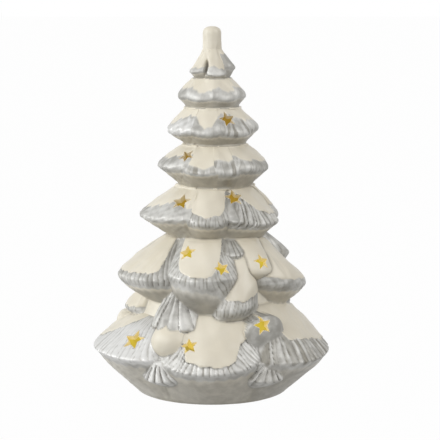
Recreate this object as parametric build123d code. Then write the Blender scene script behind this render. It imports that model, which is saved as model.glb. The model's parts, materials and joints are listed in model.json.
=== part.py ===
# Battery-lit ceramic tree: a hollow slip-cast tree with star windows, standing on felt pads,
# with a push-in lamp unit in its base. Millimetres, +Z up, origin on the table under the tip.
import os
from math import cos, hypot, pi, radians, sin

from build123d import *

# General fits
cut_overrun = 1.0
pin_gap = 0.05
face_gap = 0.1
slip_gap = 0.2

# Ceramic tree, tier 1 lowest. Each tier spreads from the neck below it up to a rim of boughs
# (under height), then draws in over its snowy slope to the neck above it (slope height).
wall = 3.6
tier_1_under_height = 29.5
tier_1_rim_radius = 84.0
tier_1_slope_height = 23.5
neck_2_radius = 55.5
tier_2_under_height = 5.0
tier_2_rim_radius = 60.5
tier_2_slope_height = 11.0
neck_3_radius = 51.0
tier_3_under_height = 12.5
tier_3_rim_radius = 65.0
tier_3_slope_height = 27.0
neck_4_radius = 33.0
tier_4_under_height = 11.2
tier_4_rim_radius = 49.0
tier_4_slope_height = 21.8
neck_5_radius = 24.5
tier_5_under_height = 12.5
tier_5_rim_radius = 38.5
tier_5_slope_height = 15.5
neck_6_radius = 19.8
tier_6_under_height = 9.1
tier_6_rim_radius = 31.5
tier_6_slope_height = 15.4
neck_7_radius = 16.6
tier_7_under_height = 7.6
tier_7_rim_radius = 23.3
tier_7_slope_height = 11.9
neck_8_radius = 11.6
tier_8_under_height = 5.3
tier_8_rim_radius = 15.7
tier_8_slope_height = 14.2
neck_4_lean = 2.4
neck_5_lean = 2.2
neck_6_lean = 1.8
tip_neck_radius = 7.0
tip_radius = 6.4
tip_height = 16.0
rim_lip_height = 2.4
bough_drop = 2.2
cavity_tip_radius = 2.5

# Lumps on the lowest tier and folds under the third: drifts of snow on its slope, tufts below its
# rim, and cones of bough that hang between the tiers
drift_radius = 11.5
tuft_radius = 13.5
fold_radius = 13.5

# Shapes of the tiers as shares: how far each slope has spread at its shoulder, tier 1 first, and how
# far the base already follows the boughs
shoulder_reach_shares = (0.6, 0.58, 0.6, 0.6, 0.6, 0.6, 0.6, 0.44)
shoulder_height_share = 0.48
rim_top_reach_share = 0.96
base_bough_share = 0.02
tip_waist_share = 0.4

# Star windows
large_star_radius = 7.6
star_radius = 6.2
small_star_radius = 5.2
star_waist_share = 0.47

# Felt pads
pad_thickness = 1.0
pad_radius = 3.4
pad_count = 4
pad_first_angle = 45.0

# Batteries, AAA cells lying side by side
battery_diameter = 10.5
battery_length = 44.5
battery_nub_radius = 1.9
battery_nub_length = 1.0
battery_edge = 0.5
battery_spacing = 11.2
battery_room = 0.3

# Battery contacts
contact_thickness = 0.4
contact_width = 8.0
contact_height = 8.4
tab_width = 2.4
tab_rise = 2.4
spring_wire_radius = 0.3
spring_radius = 2.6
spring_length = 4.4
spring_turns = 3

# Lamp cup, the moulded body of the lamp unit
bay_wall = 1.4
bay_corner_margin = 2.0
cup_wall = 1.6
cup_rise = 21.2
flange_thickness = 3.0
flange_lip = 6.0
boss_radius = 3.2
boss_gap = 0.3
boss_angles = (180.0, 60.0, -60.0)
standoff_radius = 2.2
standoff_height = 2.6
standoff_spread = 10.0

# Rubber gasket that holds the lamp unit in the ceramic
gasket_thickness = 1.7
gasket_gap = 0.3
gasket_lip_thickness = 0.8
gasket_lip_width = 3.0
gasket_height = 7.5
gasket_rib_depth = 0.7
gasket_rib_height = 1.2
gasket_rib_count = 3

# Seat of the lamp unit in the ceramic base
base_floor_thickness = 5.0
recess_depth = 5.8
recess_gap = 2.0
foot_ring_width = 12.0

# Battery door
door_thickness = 2.0
door_ledge = 1.0
door_gap = 0.25
hinge_radius = 1.1
hinge_offset = 1.2
pintle_radius = 0.8
pintle_length = 1.8
latch_width = 8.0
latch_reach = 0.5
latch_height = 0.8
thumb_radius = 9.0
thumb_depth = 1.0
thumb_inset = 6.0

# Lamp cover, diffuser dome and screws
cover_thickness = 1.6
spigot_depth = 1.5
spigot_wall = 1.5
dome_boss_gap = 2.05
dome_wall = 1.2
dome_flange_width = 2.2
cover_screw_radius = 1.15
cover_screw_length = 8.0
cover_screw_head_radius = 2.4
cover_screw_head_height = 1.5
board_screw_radius = 0.75
board_screw_length = 3.4
board_screw_head_radius = 1.6
board_screw_head_height = 1.0
screw_slot_width = 0.5
screw_slot_depth = 0.5

# Light board
board_radius = 15.0
board_thickness = 1.2
led_count = 3
led_circle_radius = 6.5
led_radius = 2.5
led_straight_height = 5.2
led_flange_radius = 2.9
led_flange_height = 1.0
lead_width = 0.5
lead_spacing = 2.54
lead_stub = 1.2
resistor_length = 3.2
resistor_width = 1.6
resistor_height = 0.6
resistor_offset = 10.5

# Slide switch
switch_length = 9.0
switch_width = 4.8
switch_height = 4.2
switch_offset = 20.5
ear_length = 4.0
ear_thickness = 1.0
peg_radius = 0.9
peg_proud = 0.5
terminal_width = 0.8
terminal_thickness = 0.8
terminal_height = 2.5
terminal_spread = 2.5
knob_length = 2.0
knob_width = 2.0
knob_proud = 0.9
knob_head_length = 3.6
knob_head_width = 3.0
knob_head_height = 1.4
knob_travel = 3.0

# Wires
wire_radius = 0.6
wire_bend_radius = 1.6
wire_lift = 2.2
wire_pad_radius = 12.0

# Heights that follow from the sizes above
wall_reach = wall * 2 ** 0.5
foot_bottom = pad_thickness
seat_height = foot_bottom + recess_depth
floor_top = seat_height + base_floor_thickness
flange_top = seat_height - slip_gap - gasket_lip_thickness
flange_bottom = flange_top - flange_thickness
door_top = flange_bottom + door_thickness
bay_floor = door_top + face_gap
bay_height = battery_diameter + 2 * battery_room
bay_roof = bay_floor + bay_height
roof_top = bay_roof + bay_wall
battery_height = bay_floor + bay_height / 2
cup_top = flange_top + cup_rise
cover_top = cup_top + cover_thickness
board_bottom = roof_top + standoff_height
board_top = board_bottom + board_thickness
tab_middle = roof_top + tab_rise / 2
wire_height = board_top + wire_lift
switch_top = flange_top + switch_height
terminal_top = switch_top + terminal_height
hinge_z = flange_bottom + hinge_radius

# Plan sizes that follow from the batteries outwards to the foot of the tree
bay_length = battery_length + spring_length + 2 * contact_thickness + 3 * face_gap
bay_width = battery_spacing + battery_diameter + 2 * battery_room
cup_inner_radius = hypot(bay_length / 2, bay_width / 2) + bay_corner_margin
cup_radius = cup_inner_radius + cup_wall
spigot_radius = cup_inner_radius - slip_gap
boss_circle_radius = spigot_radius - spigot_wall - boss_gap - boss_radius
dome_radius = boss_circle_radius - boss_radius - dome_boss_gap - dome_flange_width
lamp_hole_radius = cup_radius + gasket_thickness + gasket_gap
flange_radius = lamp_hole_radius + flange_lip
recess_radius = flange_radius + recess_gap
base_radius = recess_radius + foot_ring_width
hinge_x = bay_length / 2 + hinge_offset
door_end = -bay_length / 2 - door_ledge
door_width = bay_width + 2 * door_ledge
contact_x = bay_length / 2 - contact_thickness
battery_end = contact_x - face_gap
battery_y = battery_spacing / 2

standing = (Align.CENTER, Align.CENTER, Align.MIN)

# Boughs of each tier: the angles of the valleys between boughs in degrees from the front towards
# +X, each valley's and each bough's reach as a share of the rim radius, and each bough's rise or drop
# as a share of bough_drop
tier_1_valley_angles = (-103, -33, 30, 103, 148, 207)
tier_1_valley_shares = (0.9, 0.85, 0.86, 0.88, 0.87, 0.88)
tier_1_reach_shares = (1.0, 0.925, 1.0, 0.94, 0.925, 0.96)
tier_1_drop_shares = (1.1, -1.5, -0.2, -0.2, -1.1, 0.2)
tier_2_valley_angles = (-120, -72, -47, -14, 4, 35, 72, 117, 163, 212)
tier_2_valley_shares = (0.88, 0.84, 0.86, 0.88, 0.88, 0.86, 0.94, 0.9, 0.88, 0.88)
tier_2_reach_shares = (1.0, 0.86, 0.95, 0.9, 0.97, 0.92, 0.97, 0.97, 0.99, 0.94)
tier_2_drop_shares = (-0.9, 0.0, 0.0, 0.0, 0.4, 0.0, 0.9, 0.4, -0.4, 0.4)
tier_3_valley_angles = (-98, -33, 14, 45, 98, 124, 173, 220)
tier_3_valley_shares = (0.94, 0.83, 0.86, 0.78, 0.84, 0.85, 0.89, 0.9)
tier_3_reach_shares = (1.0, 0.96, 0.82, 1.0, 0.84, 0.97, 0.97, 0.96)
tier_3_drop_shares = (0.2, 1.4, 1.8, -1.4, 3.0, 0.0, -0.9, 1.0)
tier_4_valley_angles = (-105, -24, 15, 89, 143, 203)
tier_4_valley_shares = (0.94, 0.92, 0.88, 0.91, 0.92, 0.93)
tier_4_reach_shares = (1.03, 1.0, 0.99, 0.99, 0.98, 0.99)
tier_4_drop_shares = (0.8, 0.1, -0.8, -0.3, 0.1, -0.5)
tier_5_valley_angles = (-106, -32, 7, 32, 94, 149, 203)
tier_5_valley_shares = (0.92, 0.91, 0.94, 0.94, 0.94, 0.93, 0.92)
tier_5_reach_shares = (0.98, 0.99, 0.98, 1.03, 0.99, 1.0, 0.98)
tier_5_drop_shares = (0.7, -0.9, -0.4, 0.2, 0.0, -0.7, 0.4)
tier_6_valley_angles = (-100, -27, 11, 65, 117, 167, 219)
tier_6_valley_shares = (0.92, 0.92, 0.94, 0.93, 0.93, 0.93, 0.92)
tier_6_reach_shares = (0.98, 0.98, 0.99, 1.02, 0.98, 0.99, 0.97)
tier_6_drop_shares = (0.0, -0.3, -0.4, 0.9, -0.3, 0.2, -0.5)
tier_7_valley_angles = (-105, -48, 2, 53, 112, 170, 225)
tier_7_valley_shares = (0.93, 0.93, 0.93, 0.93, 0.93, 0.93, 0.93)
tier_7_reach_shares = (1.0, 0.98, 0.98, 1.0, 0.98, 0.98, 0.97)
tier_7_drop_shares = (0.0, -0.3, -0.2, 0.5, 0.0, -0.2, 0.2)
tier_8_valley_angles = (-104, -25, 54, 116, 183)
tier_8_valley_shares = (0.84, 0.82, 0.86, 0.84, 0.84)
tier_8_reach_shares = (1.0, 0.95, 0.99, 0.97, 0.98)
tier_8_drop_shares = (-0.1, -1.0, 1.2, -0.1, 0.3)

# Drifts on the slopes: tier, angle, reach of the middle as a share of the rim radius, share of the
# slope below the neck, share of drift_radius
drift_place_shares = (
    (1, -28, 0.66, 0.4, 1.0),
    (1, 36, 0.6, 0.13, 1.06),
    (1, 150, 0.67, 0.34, 0.96),
    (1, -96, 0.7, 0.38, 0.74),
    (3, 107, 0.6, 0.5, 1.1),
)

# Tufts below the lowest rim: angle, reach of the middle as a share of the rim radius, share of the
# height from foot to rim, share of tuft_radius
tuft_place_shares = (
    (-31, 0.71, 0.7, 1.0),
    (33, 0.71, 0.7, 1.0),
    (97, 0.73, 0.68, 1.0),
    (150, 0.69, 0.7, 1.0),
    (-150, 0.69, 0.72, 0.94),
)

# Folds between the second and third tiers, each from its foot to its top: angle, reach as a share of
# the third rim radius, height as a share of the third tier's top, share of fold_radius
fold_place_shares = (
    ((20, 0.73, 0.55, 1.0), (27, 0.6, 0.88, 0.5)),
    ((-29, 0.75, 0.47, 1.08), (-30, 0.73, 0.72, 0.1)),
    ((82, 0.7, 0.57, 0.75), (80, 0.73, 0.72, 1.0)),
)

# Star windows: tier, angle from the front towards +X, share of the slope below the neck, turn
star_place_shares = (
    (6, 25.5, 0.39, 10),
    (5, -36.5, 0.42, 24),
    (4, -35, 0.4, 18),
    (4, 26.5, 0.2, 0),
    (3, -22, 0.285, 28),
    (3, 7, 0.6, -14),
    (3, 43, 0.5, 8),
    (1, -51, 0.47, 6),
    (1, -13, 0.42, 30),
    (1, 33, 0.12, -10),
    (6, 190, 0.47, 20),
    (5, 140, 0.44, 0),
    (5, -125, 0.49, 30),
    (4, 110, 0.45, 12),
    (4, -155, 0.43, -8),
    (3, 128, 0.53, 16),
    (3, 176, 0.48, 0),
    (3, -128, 0.5, 26),
    (1, 105, 0.47, 10),
    (1, 152, 0.52, -12),
    (1, -152, 0.48, 22),
    (1, -104, 0.52, 4),
)
large_star_tiers = (1,)
small_star_tiers = (5, 6)


# A point at an angle from the front, a radius from the axis and a height
def around(angle, radius, height):
    return (radius * sin(radians(angle)), -radius * cos(radians(angle)), height)


# An upright cylinder standing at a place
def post(x, y, bottom, radius, height):
    return Pos(x, y, bottom) * Cylinder(radius, height, align=standing)


# A box standing on its middle at a place
def block(x, y, bottom, length, width, height):
    return Pos(x, y, bottom) * Box(length, width, height, align=standing)


# One level of a tier: an arc for each bough, bulging from valley to valley. A share of 0 is the
# round neck below or above the tier and a share of 1 the full rim
def bough_ring(tier, neck, share, height, inset=0.0, level=False):
    valleys = tier["valleys"]
    count = len(valleys)

    def place(angle, reach_share, rise):
        neck_radius = tier["neck_" + neck]
        radius = neck_radius + (tier["rim_radius"] * reach_share - neck_radius) * share - inset
        x, y, z = around(angle, radius, height + rise)
        return (x + tier["lean_" + neck] * (1 - share), y, z)

    arcs = []
    for i, first in enumerate(valleys):
        after = (i + 1) % count
        last = valleys[after] + (360 if after == 0 else 0)
        rise = 0.0 if level else bough_drop * tier["drops"][i] * share
        arcs.append(
            ThreePointArc(
                place(first, tier["valley_shares"][i], 0.0),
                place((first + last) / 2, tier["reaches"][i], rise),
                place(last, tier["valley_shares"][after], 0.0),
            )
        )
    return Wire(arcs)


# All tiers from the foot up, each with its heights and necks worked out
def tier_list():
    sizes = (
        (tier_1_under_height, tier_1_rim_radius, tier_1_slope_height, neck_2_radius, 0.0),
        (tier_2_under_height, tier_2_rim_radius, tier_2_slope_height, neck_3_radius, 0.0),
        (tier_3_under_height, tier_3_rim_radius, tier_3_slope_height, neck_4_radius, neck_4_lean),
        (tier_4_under_height, tier_4_rim_radius, tier_4_slope_height, neck_5_radius, neck_5_lean),
        (tier_5_under_height, tier_5_rim_radius, tier_5_slope_height, neck_6_radius, neck_6_lean),
        (tier_6_under_height, tier_6_rim_radius, tier_6_slope_height, neck_7_radius, 0.0),
        (tier_7_under_height, tier_7_rim_radius, tier_7_slope_height, neck_8_radius, 0.0),
        (tier_8_under_height, tier_8_rim_radius, tier_8_slope_height, tip_neck_radius, 0.0),
    )
    boughs = (
        (tier_1_valley_angles, tier_1_valley_shares, tier_1_reach_shares, tier_1_drop_shares),
        (tier_2_valley_angles, tier_2_valley_shares, tier_2_reach_shares, tier_2_drop_shares),
        (tier_3_valley_angles, tier_3_valley_shares, tier_3_reach_shares, tier_3_drop_shares),
        (tier_4_valley_angles, tier_4_valley_shares, tier_4_reach_shares, tier_4_drop_shares),
        (tier_5_valley_angles, tier_5_valley_shares, tier_5_reach_shares, tier_5_drop_shares),
        (tier_6_valley_angles, tier_6_valley_shares, tier_6_reach_shares, tier_6_drop_shares),
        (tier_7_valley_angles, tier_7_valley_shares, tier_7_reach_shares, tier_7_drop_shares),
        (tier_8_valley_angles, tier_8_valley_shares, tier_8_reach_shares, tier_8_drop_shares),
    )
    tiers = []
    height = foot_bottom
    neck_radius = base_radius
    neck_lean = 0.0
    for size, bough, shoulder_share in zip(sizes, boughs, shoulder_reach_shares):
        under, rim_radius, slope, neck_above, lean_above = size
        valleys, valley_shares, reaches, drops = bough
        tiers.append(
            {
                "bottom": height,
                "neck_below": neck_radius,
                "lean_below": neck_lean,
                "rim": height + under,
                "rim_radius": rim_radius,
                "top": height + under + slope,
                "neck_above": neck_above,
                "lean_above": lean_above,
                "valleys": valleys,
                "valley_shares": valley_shares,
                "reaches": reaches,
                "drops": drops,
                "shoulder_share": shoulder_share,
            }
        )
        height += under + slope
        neck_radius = neck_above
        neck_lean = lean_above
    return tiers


# The outside of one tier, from neck to neck
def tier_outside(tier, foot_share=0.0):
    shoulder = tier["rim"] + (tier["top"] - tier["rim"]) * (1 - shoulder_height_share)
    rings = [
        bough_ring(tier, "below", foot_share, tier["bottom"], level=True),
        bough_ring(tier, "below", 1.0, tier["rim"] - rim_lip_height / 2),
        bough_ring(tier, "above", rim_top_reach_share, tier["rim"] + rim_lip_height / 2),
        bough_ring(tier, "above", tier["shoulder_share"], shoulder),
        bough_ring(tier, "above", 0.0, tier["top"], level=True),
    ]
    return Solid.make_loft(rings, ruled=True)


# The hollow in one tier, a wall inside its outside
def tier_hollow(tier):
    rings = [
        bough_ring(tier, "below", 0.0, tier["bottom"], wall_reach, level=True),
        bough_ring(tier, "below", 1.0, tier["rim"], wall_reach),
        bough_ring(tier, "above", 0.0, tier["top"], wall_reach, level=True),
    ]
    return Solid.make_loft(rings, ruled=True)


# The hollow of the lowest tier stops at the ceramic floor, and that of the last hollow tier is closed
def hollow_inside(tiers):
    below_floor = post(
        0, 0, foot_bottom - cut_overrun, 2 * tier_1_rim_radius, floor_top - foot_bottom + cut_overrun
    )
    hollow = tier_hollow(tiers[0]) - below_floor
    for tier in tiers[1:-2]:
        hollow += tier_hollow(tier)
    last = dict(tiers[-2], neck_above=cavity_tip_radius)
    rings = [
        bough_ring(last, "below", 0.0, last["bottom"], wall_reach, level=True),
        bough_ring(last, "below", 1.0, last["rim"], wall_reach),
        bough_ring(last, "above", 0.0, last["top"] - wall, level=True),
    ]
    return hollow + Solid.make_loft(rings, ruled=True)


# Rounded finger of the tip, turned from the last neck to the top
def tip_finger(bottom):
    waist = bottom + tip_height * tip_waist_share
    shoulder = bottom + tip_height - tip_radius
    with BuildPart() as finger:
        with BuildSketch(Plane.XZ):
            with BuildLine():
                Polyline((0, bottom), (tip_neck_radius, bottom), (tip_radius, waist), (tip_radius, shoulder))
                RadiusArc((tip_radius, shoulder), (0, shoulder + tip_radius), -tip_radius)
                Line((0, shoulder + tip_radius), (0, bottom))
            make_face()
        revolve(axis=Axis.Z)
    return finger.part


# A star window cutter, square to the slope it goes through
def star_cutter(tier, angle, slope_share, turn, radius):
    neck_radius = tier["neck_above"] + tier["lean_above"] * sin(radians(angle))
    rim_radius = tier["rim_radius"]
    slope_height = tier["top"] - tier["rim"]
    bulge = tier["shoulder_share"] - shoulder_height_share
    middle_radius = neck_radius + (rim_radius - neck_radius) * (slope_share + bulge)
    place = around(angle, middle_radius, tier["top"] - slope_height * slope_share)
    outward = around(angle, slope_height, rim_radius - neck_radius)
    plane = Plane(origin=place, z_dir=outward).offset(wall)
    points = []
    for i in range(10):
        reach = radius if i % 2 == 0 else radius * star_waist_share
        points.append((reach * cos(radians(turn + 36 * i)), reach * sin(radians(turn + 36 * i))))
    outline = plane * make_face(Polyline(*points, close=True))
    return extrude(outline, amount=wall + 2 * wall_reach, dir=-plane.z_dir)


def star_size(number):
    if number in large_star_tiers:
        return large_star_radius
    if number in small_star_tiers:
        return small_star_radius
    return star_radius


# The drifts and tufts, as balls set into their tiers
def lumps(tiers):
    balls = []
    for number, angle, reach_share, slope_share, size_share in drift_place_shares:
        tier = tiers[number - 1]
        height = tier["top"] - (tier["top"] - tier["rim"]) * slope_share
        place = around(angle, tier["rim_radius"] * reach_share, height)
        balls.append(Pos(*place) * Sphere(drift_radius * size_share))
    lowest = tiers[0]
    for angle, reach_share, under_share, size_share in tuft_place_shares:
        height = lowest["bottom"] + (lowest["rim"] - lowest["bottom"]) * under_share
        place = around(angle, lowest["rim_radius"] * reach_share, height)
        balls.append(Pos(*place) * Sphere(tuft_radius * size_share))
    return balls


# The folds, each a cone between a round foot and a smaller round top
def folds(tier):
    cones = []
    for ends in fold_place_shares:
        rings = []
        for angle, reach_share, height_share, size_share in ends:
            place = around(angle, tier["rim_radius"] * reach_share, tier["top"] * height_share)
            rings.append(Wire.make_circle(fold_radius * size_share, Plane(origin=place)))
        cones.append(Solid.make_loft(rings, ruled=True))
    return cones


def make_tree():
    tiers = tier_list()
    tree = tier_outside(tiers[0], base_bough_share)
    for tier in tiers[1:]:
        tree += tier_outside(tier)
    for lump in lumps(tiers) + folds(tiers[2]):
        tree += lump
    tree += tip_finger(tiers[-1]["top"])
    tree -= hollow_inside(tiers)
    tree -= post(0, 0, foot_bottom, lamp_hole_radius, floor_top - foot_bottom + cut_overrun)
    tree -= post(0, 0, foot_bottom, recess_radius, recess_depth)
    for number, angle, slope_share, turn in star_place_shares:
        tree -= star_cutter(tiers[number - 1], angle, slope_share, turn, star_size(number))
    return tree


def make_pads():
    circle = recess_radius + foot_ring_width / 2
    pads = []
    for i in range(pad_count):
        x, y, bottom = around(pad_first_angle + i * 360 / pad_count, circle, 0)
        pads.append(post(x, y, bottom, pad_radius, pad_thickness))
    return Compound(pads)


# A cylinder lying along Y, centred on y = 0
def rod_along_y(x, z, radius, length):
    return Pos(x, 0, z) * Rot(90, 0, 0) * Cylinder(radius, length)


def boss_places():
    return [around(angle, boss_circle_radius, 0)[:2] for angle in boss_angles]


def standoff_places():
    return [(-standoff_spread, 0), (standoff_spread, 0)]


def peg_places():
    reach = (switch_length + ear_length) / 2
    return [(-reach, -switch_offset), (reach, -switch_offset)]


# Where the door and its hinge barrel lie in the flange, with their gaps
def door_mouth():
    mouth_end = door_end - door_gap
    mouth_length = hinge_x - mouth_end
    mouth_width = door_width + 2 * door_gap
    mouth = block(
        mouth_end + mouth_length / 2,
        0,
        flange_bottom - cut_overrun,
        mouth_length,
        mouth_width,
        bay_floor - flange_bottom + cut_overrun,
    )
    barrel_room = hinge_radius + door_gap
    mouth += block(
        hinge_x,
        0,
        flange_bottom - cut_overrun,
        2 * barrel_room,
        mouth_width,
        hinge_z + barrel_room - flange_bottom + cut_overrun,
    )
    pin_length = mouth_width + 2 * (pintle_length + slip_gap)
    mouth += rod_along_y(hinge_x, hinge_z, pintle_radius + pin_gap, pin_length)
    mouth += block(
        mouth_end,
        0,
        flange_bottom + (door_thickness - latch_height) / 2 - door_gap,
        2 * (latch_reach + door_gap),
        latch_width + 2 * door_gap,
        latch_height + 2 * door_gap,
    )
    return mouth


# Cup with its battery bay, flange, screw bosses, board standoffs and switch pegs
def make_cup():
    cup = post(0, 0, flange_bottom, flange_radius, flange_thickness)
    cup += post(0, 0, flange_top, cup_radius, cup_rise) - post(0, 0, flange_top, cup_inner_radius, cup_rise)
    cup += block(
        0, 0, flange_bottom, bay_length + 2 * bay_wall, bay_width + 2 * bay_wall, roof_top - flange_bottom
    )
    for x, y in boss_places():
        cup += post(x, y, flange_top, boss_radius, cup_rise)
    for x, y in standoff_places():
        cup += post(x, y, roof_top, standoff_radius, standoff_height)
    for x, y in peg_places():
        cup += post(x, y, flange_top, peg_radius, ear_thickness + peg_proud)
    cup -= block(0, 0, flange_bottom, bay_length, bay_width, bay_roof - flange_bottom)
    cup -= door_mouth()
    for x, y in boss_places():
        hole_depth = cover_screw_length - cover_thickness + slip_gap
        cup -= post(x, y, cup_top - hole_depth, cover_screw_radius + pin_gap, hole_depth + cut_overrun)
    for x, y in standoff_places():
        hole_depth = board_screw_length - board_thickness + slip_gap
        cup -= post(x, y, board_bottom - hole_depth, board_screw_radius + pin_gap, hole_depth + cut_overrun)
    slot_height = roof_top - bay_roof + 2 * cut_overrun
    for x, y in ((contact_x, battery_y), (contact_x, -battery_y)):
        cup -= block(
            x + contact_thickness / 2,
            y,
            bay_roof - cut_overrun,
            contact_thickness + 2 * face_gap,
            tab_width + 2 * face_gap,
            slot_height,
        )
    cup -= block(
        0,
        -switch_offset,
        flange_bottom - cut_overrun,
        knob_length + knob_travel + 2 * slip_gap,
        knob_width + 2 * slip_gap,
        flange_thickness + 2 * cut_overrun,
    )
    return cup


# Ribbed rubber sleeve round the cup, with a lip between flange and ceramic
def make_gasket():
    inner = cup_radius + pin_gap
    sleeve_radius = cup_radius + gasket_thickness - gasket_rib_depth
    gasket = post(0, 0, flange_top, sleeve_radius, gasket_lip_thickness + gasket_height)
    gasket += post(0, 0, flange_top, lamp_hole_radius + gasket_lip_width, gasket_lip_thickness)
    rib_step = gasket_height / gasket_rib_count
    for i in range(gasket_rib_count):
        middle = flange_top + gasket_lip_thickness + rib_step * (i + 1 / 2)
        gasket += post(0, 0, middle - gasket_rib_height / 2, cup_radius + gasket_thickness, gasket_rib_height)
    return gasket - post(
        0, 0, flange_top - cut_overrun, inner, gasket_lip_thickness + gasket_height + 2 * cut_overrun
    )


# Door with a hinge barrel, two pintles, a latch nib and a thumb scoop
def make_door():
    plate_length = hinge_x - door_end
    door = block(door_end + plate_length / 2, 0, flange_bottom, plate_length, door_width, door_thickness)
    door += rod_along_y(hinge_x, hinge_z, hinge_radius, door_width)
    door += rod_along_y(hinge_x, hinge_z, pintle_radius, door_width + 2 * (door_gap + pintle_length))
    door += block(
        door_end,
        0,
        flange_bottom + (door_thickness - latch_height) / 2,
        2 * latch_reach,
        latch_width,
        latch_height,
    )
    scoop_height = flange_bottom + thumb_depth - thumb_radius
    return door - rod_along_y(door_end + thumb_inset, scoop_height, thumb_radius, latch_width)


# Lid of the cup, with a spigot inside it and a hole for the dome
def make_cover():
    cover = post(0, 0, cup_top, cup_radius, cover_thickness)
    spigot = post(0, 0, cup_top - spigot_depth, spigot_radius, spigot_depth)
    spigot -= post(0, 0, cup_top - spigot_depth, spigot_radius - spigot_wall, spigot_depth)
    cover += spigot
    cover -= post(0, 0, cup_top - cut_overrun, dome_radius + slip_gap, cover_thickness + 2 * cut_overrun)
    for x, y in boss_places():
        cover -= post(
            x, y, cup_top - cut_overrun, cover_screw_radius + slip_gap, cover_thickness + 2 * cut_overrun
        )
    return cover


# Frosted dome, clamped by its flange under the lid
def make_dome():
    dome = Pos(0, 0, cup_top) * (Sphere(dome_radius) - Sphere(dome_radius - dome_wall))
    dome -= post(0, 0, cup_top - 2 * dome_radius, 2 * dome_radius, 2 * dome_radius)
    flange = post(0, 0, cup_top - dome_wall, dome_radius + dome_flange_width, dome_wall)
    return dome + flange - post(
        0, 0, cup_top - dome_wall - cut_overrun, dome_radius - dome_wall, dome_wall + cut_overrun
    )


# A slotted screw, its head resting at a height
def make_screw(x, y, seat, radius, length, head_radius, head_height):
    screw = post(x, y, seat - length, radius, length)
    screw += post(x, y, seat, head_radius, head_height)
    return screw - block(
        x, y, seat + head_height - screw_slot_depth, 2 * head_radius, screw_slot_width, screw_slot_depth
    )


def make_cover_screws():
    sizes = (cover_screw_radius, cover_screw_length, cover_screw_head_radius, cover_screw_head_height)
    return Compound([make_screw(x, y, cover_top, *sizes) for x, y in boss_places()])


def make_board_screws():
    sizes = (board_screw_radius, board_screw_length, board_screw_head_radius, board_screw_head_height)
    return Compound([make_screw(x, y, board_top, *sizes) for x, y in standoff_places()])


def led_places():
    return [around(i * 360 / led_count, led_circle_radius, 0)[:2] for i in range(led_count)]


def lead_places():
    places = []
    for x, y in led_places():
        places += [(x - lead_spacing / 2, y), (x + lead_spacing / 2, y)]
    return places


def make_board():
    board = post(0, 0, board_bottom, board_radius, board_thickness)
    for x, y in standoff_places():
        board -= post(
            x, y, board_bottom - cut_overrun, board_screw_radius + slip_gap, board_thickness + 2 * cut_overrun
        )
    for x, y in lead_places():
        hole_width = lead_width + 2 * face_gap
        board -= block(
            x, y, board_bottom - cut_overrun, hole_width, hole_width, board_thickness + 2 * cut_overrun
        )
    return board


def make_leds():
    leds = []
    for x, y in led_places():
        dome_middle = board_top + led_flange_height + led_straight_height
        led = post(x, y, board_top, led_flange_radius, led_flange_height)
        led += post(x, y, board_top, led_radius, led_flange_height + led_straight_height)
        led += Pos(x, y, dome_middle) * Sphere(led_radius)
        leds.append(led)
    return Compound(leds)


def make_leads():
    bottom = board_bottom - lead_stub
    height = board_top - bottom
    return Compound([block(x, y, bottom, lead_width, lead_width, height) for x, y in lead_places()])


def make_resistor():
    return block(0, resistor_offset, board_top, resistor_length, resistor_width, resistor_height)


# An AAA cell lying along X, its nub towards +X or -X
def make_battery(y, towards, minus_end):
    can_length = battery_length - battery_nub_length
    radius = battery_diameter / 2
    can = Cylinder(radius, can_length, align=standing)
    can = fillet(can.edges().filter_by(GeomType.CIRCLE), battery_edge)
    cell = can + post(0, 0, can_length, battery_nub_radius, battery_nub_length)
    return Pos(minus_end, y, battery_height) * Rot(0, 90 * towards, 0) * cell


# A flat contact against an end wall of the bay
def make_contact(x, y, width):
    return block(
        x, y, battery_height - contact_height / 2, contact_thickness, width, contact_height
    )


# A contact with a solder tab that comes up through the roof of the bay
def make_tab_contact(y):
    x = contact_x + contact_thickness / 2
    tab_bottom = battery_height
    tab = block(x, y, tab_bottom, contact_thickness, tab_width, roof_top + tab_rise - tab_bottom)
    return make_contact(x, y, contact_width) + tab


# One quarter of a coil as two arcs that meet smoothly, from point and direction to the next pair
def biarc(start, start_way, end, end_way):
    chord = end - start
    ways = start_way + end_way
    turn = 2 * (1 - start_way.dot(end_way))
    along = chord.dot(ways)
    leg = (-along + (along ** 2 + turn * chord.dot(chord)) ** 0.5) / turn
    first_corner = start + start_way * leg
    second_corner = end - end_way * leg
    middle = (first_corner + second_corner) / 2
    middle_way = (second_corner - first_corner).normalized()
    return [TangentArc(start, middle, tangent=start_way), TangentArc(middle, end, tangent=middle_way)]


# A coil spring along X between a contact and a cell, and its least gap to itself
def make_spring(y, left_end):
    rise = spring_length - 2 * spring_wire_radius - 2 * face_gap
    steps = 4 * spring_turns
    points = []
    ways = []
    for i in range(steps + 1):
        turn = 2 * pi * i / 4
        x = left_end + face_gap + spring_wire_radius + rise * i / steps
        points.append(Vector(x, y + spring_radius * cos(turn), battery_height + spring_radius * sin(turn)))
        climb = rise / (2 * pi * spring_turns)
        ways.append(Vector(climb, -spring_radius * sin(turn), spring_radius * cos(turn)).normalized())
    arcs = []
    for i in range(steps):
        arcs += biarc(points[i], ways[i], points[i + 1], ways[i + 1])
    path = Wire(arcs)
    section = Plane(origin=points[0], z_dir=ways[0]) * Circle(spring_wire_radius)
    gaps = [(points[i + 4] - points[i]).length - 2 * spring_wire_radius for i in range(steps - 3)]
    print("spring gap", round(min(gaps), 3))
    return sweep(section, path=path)


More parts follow.
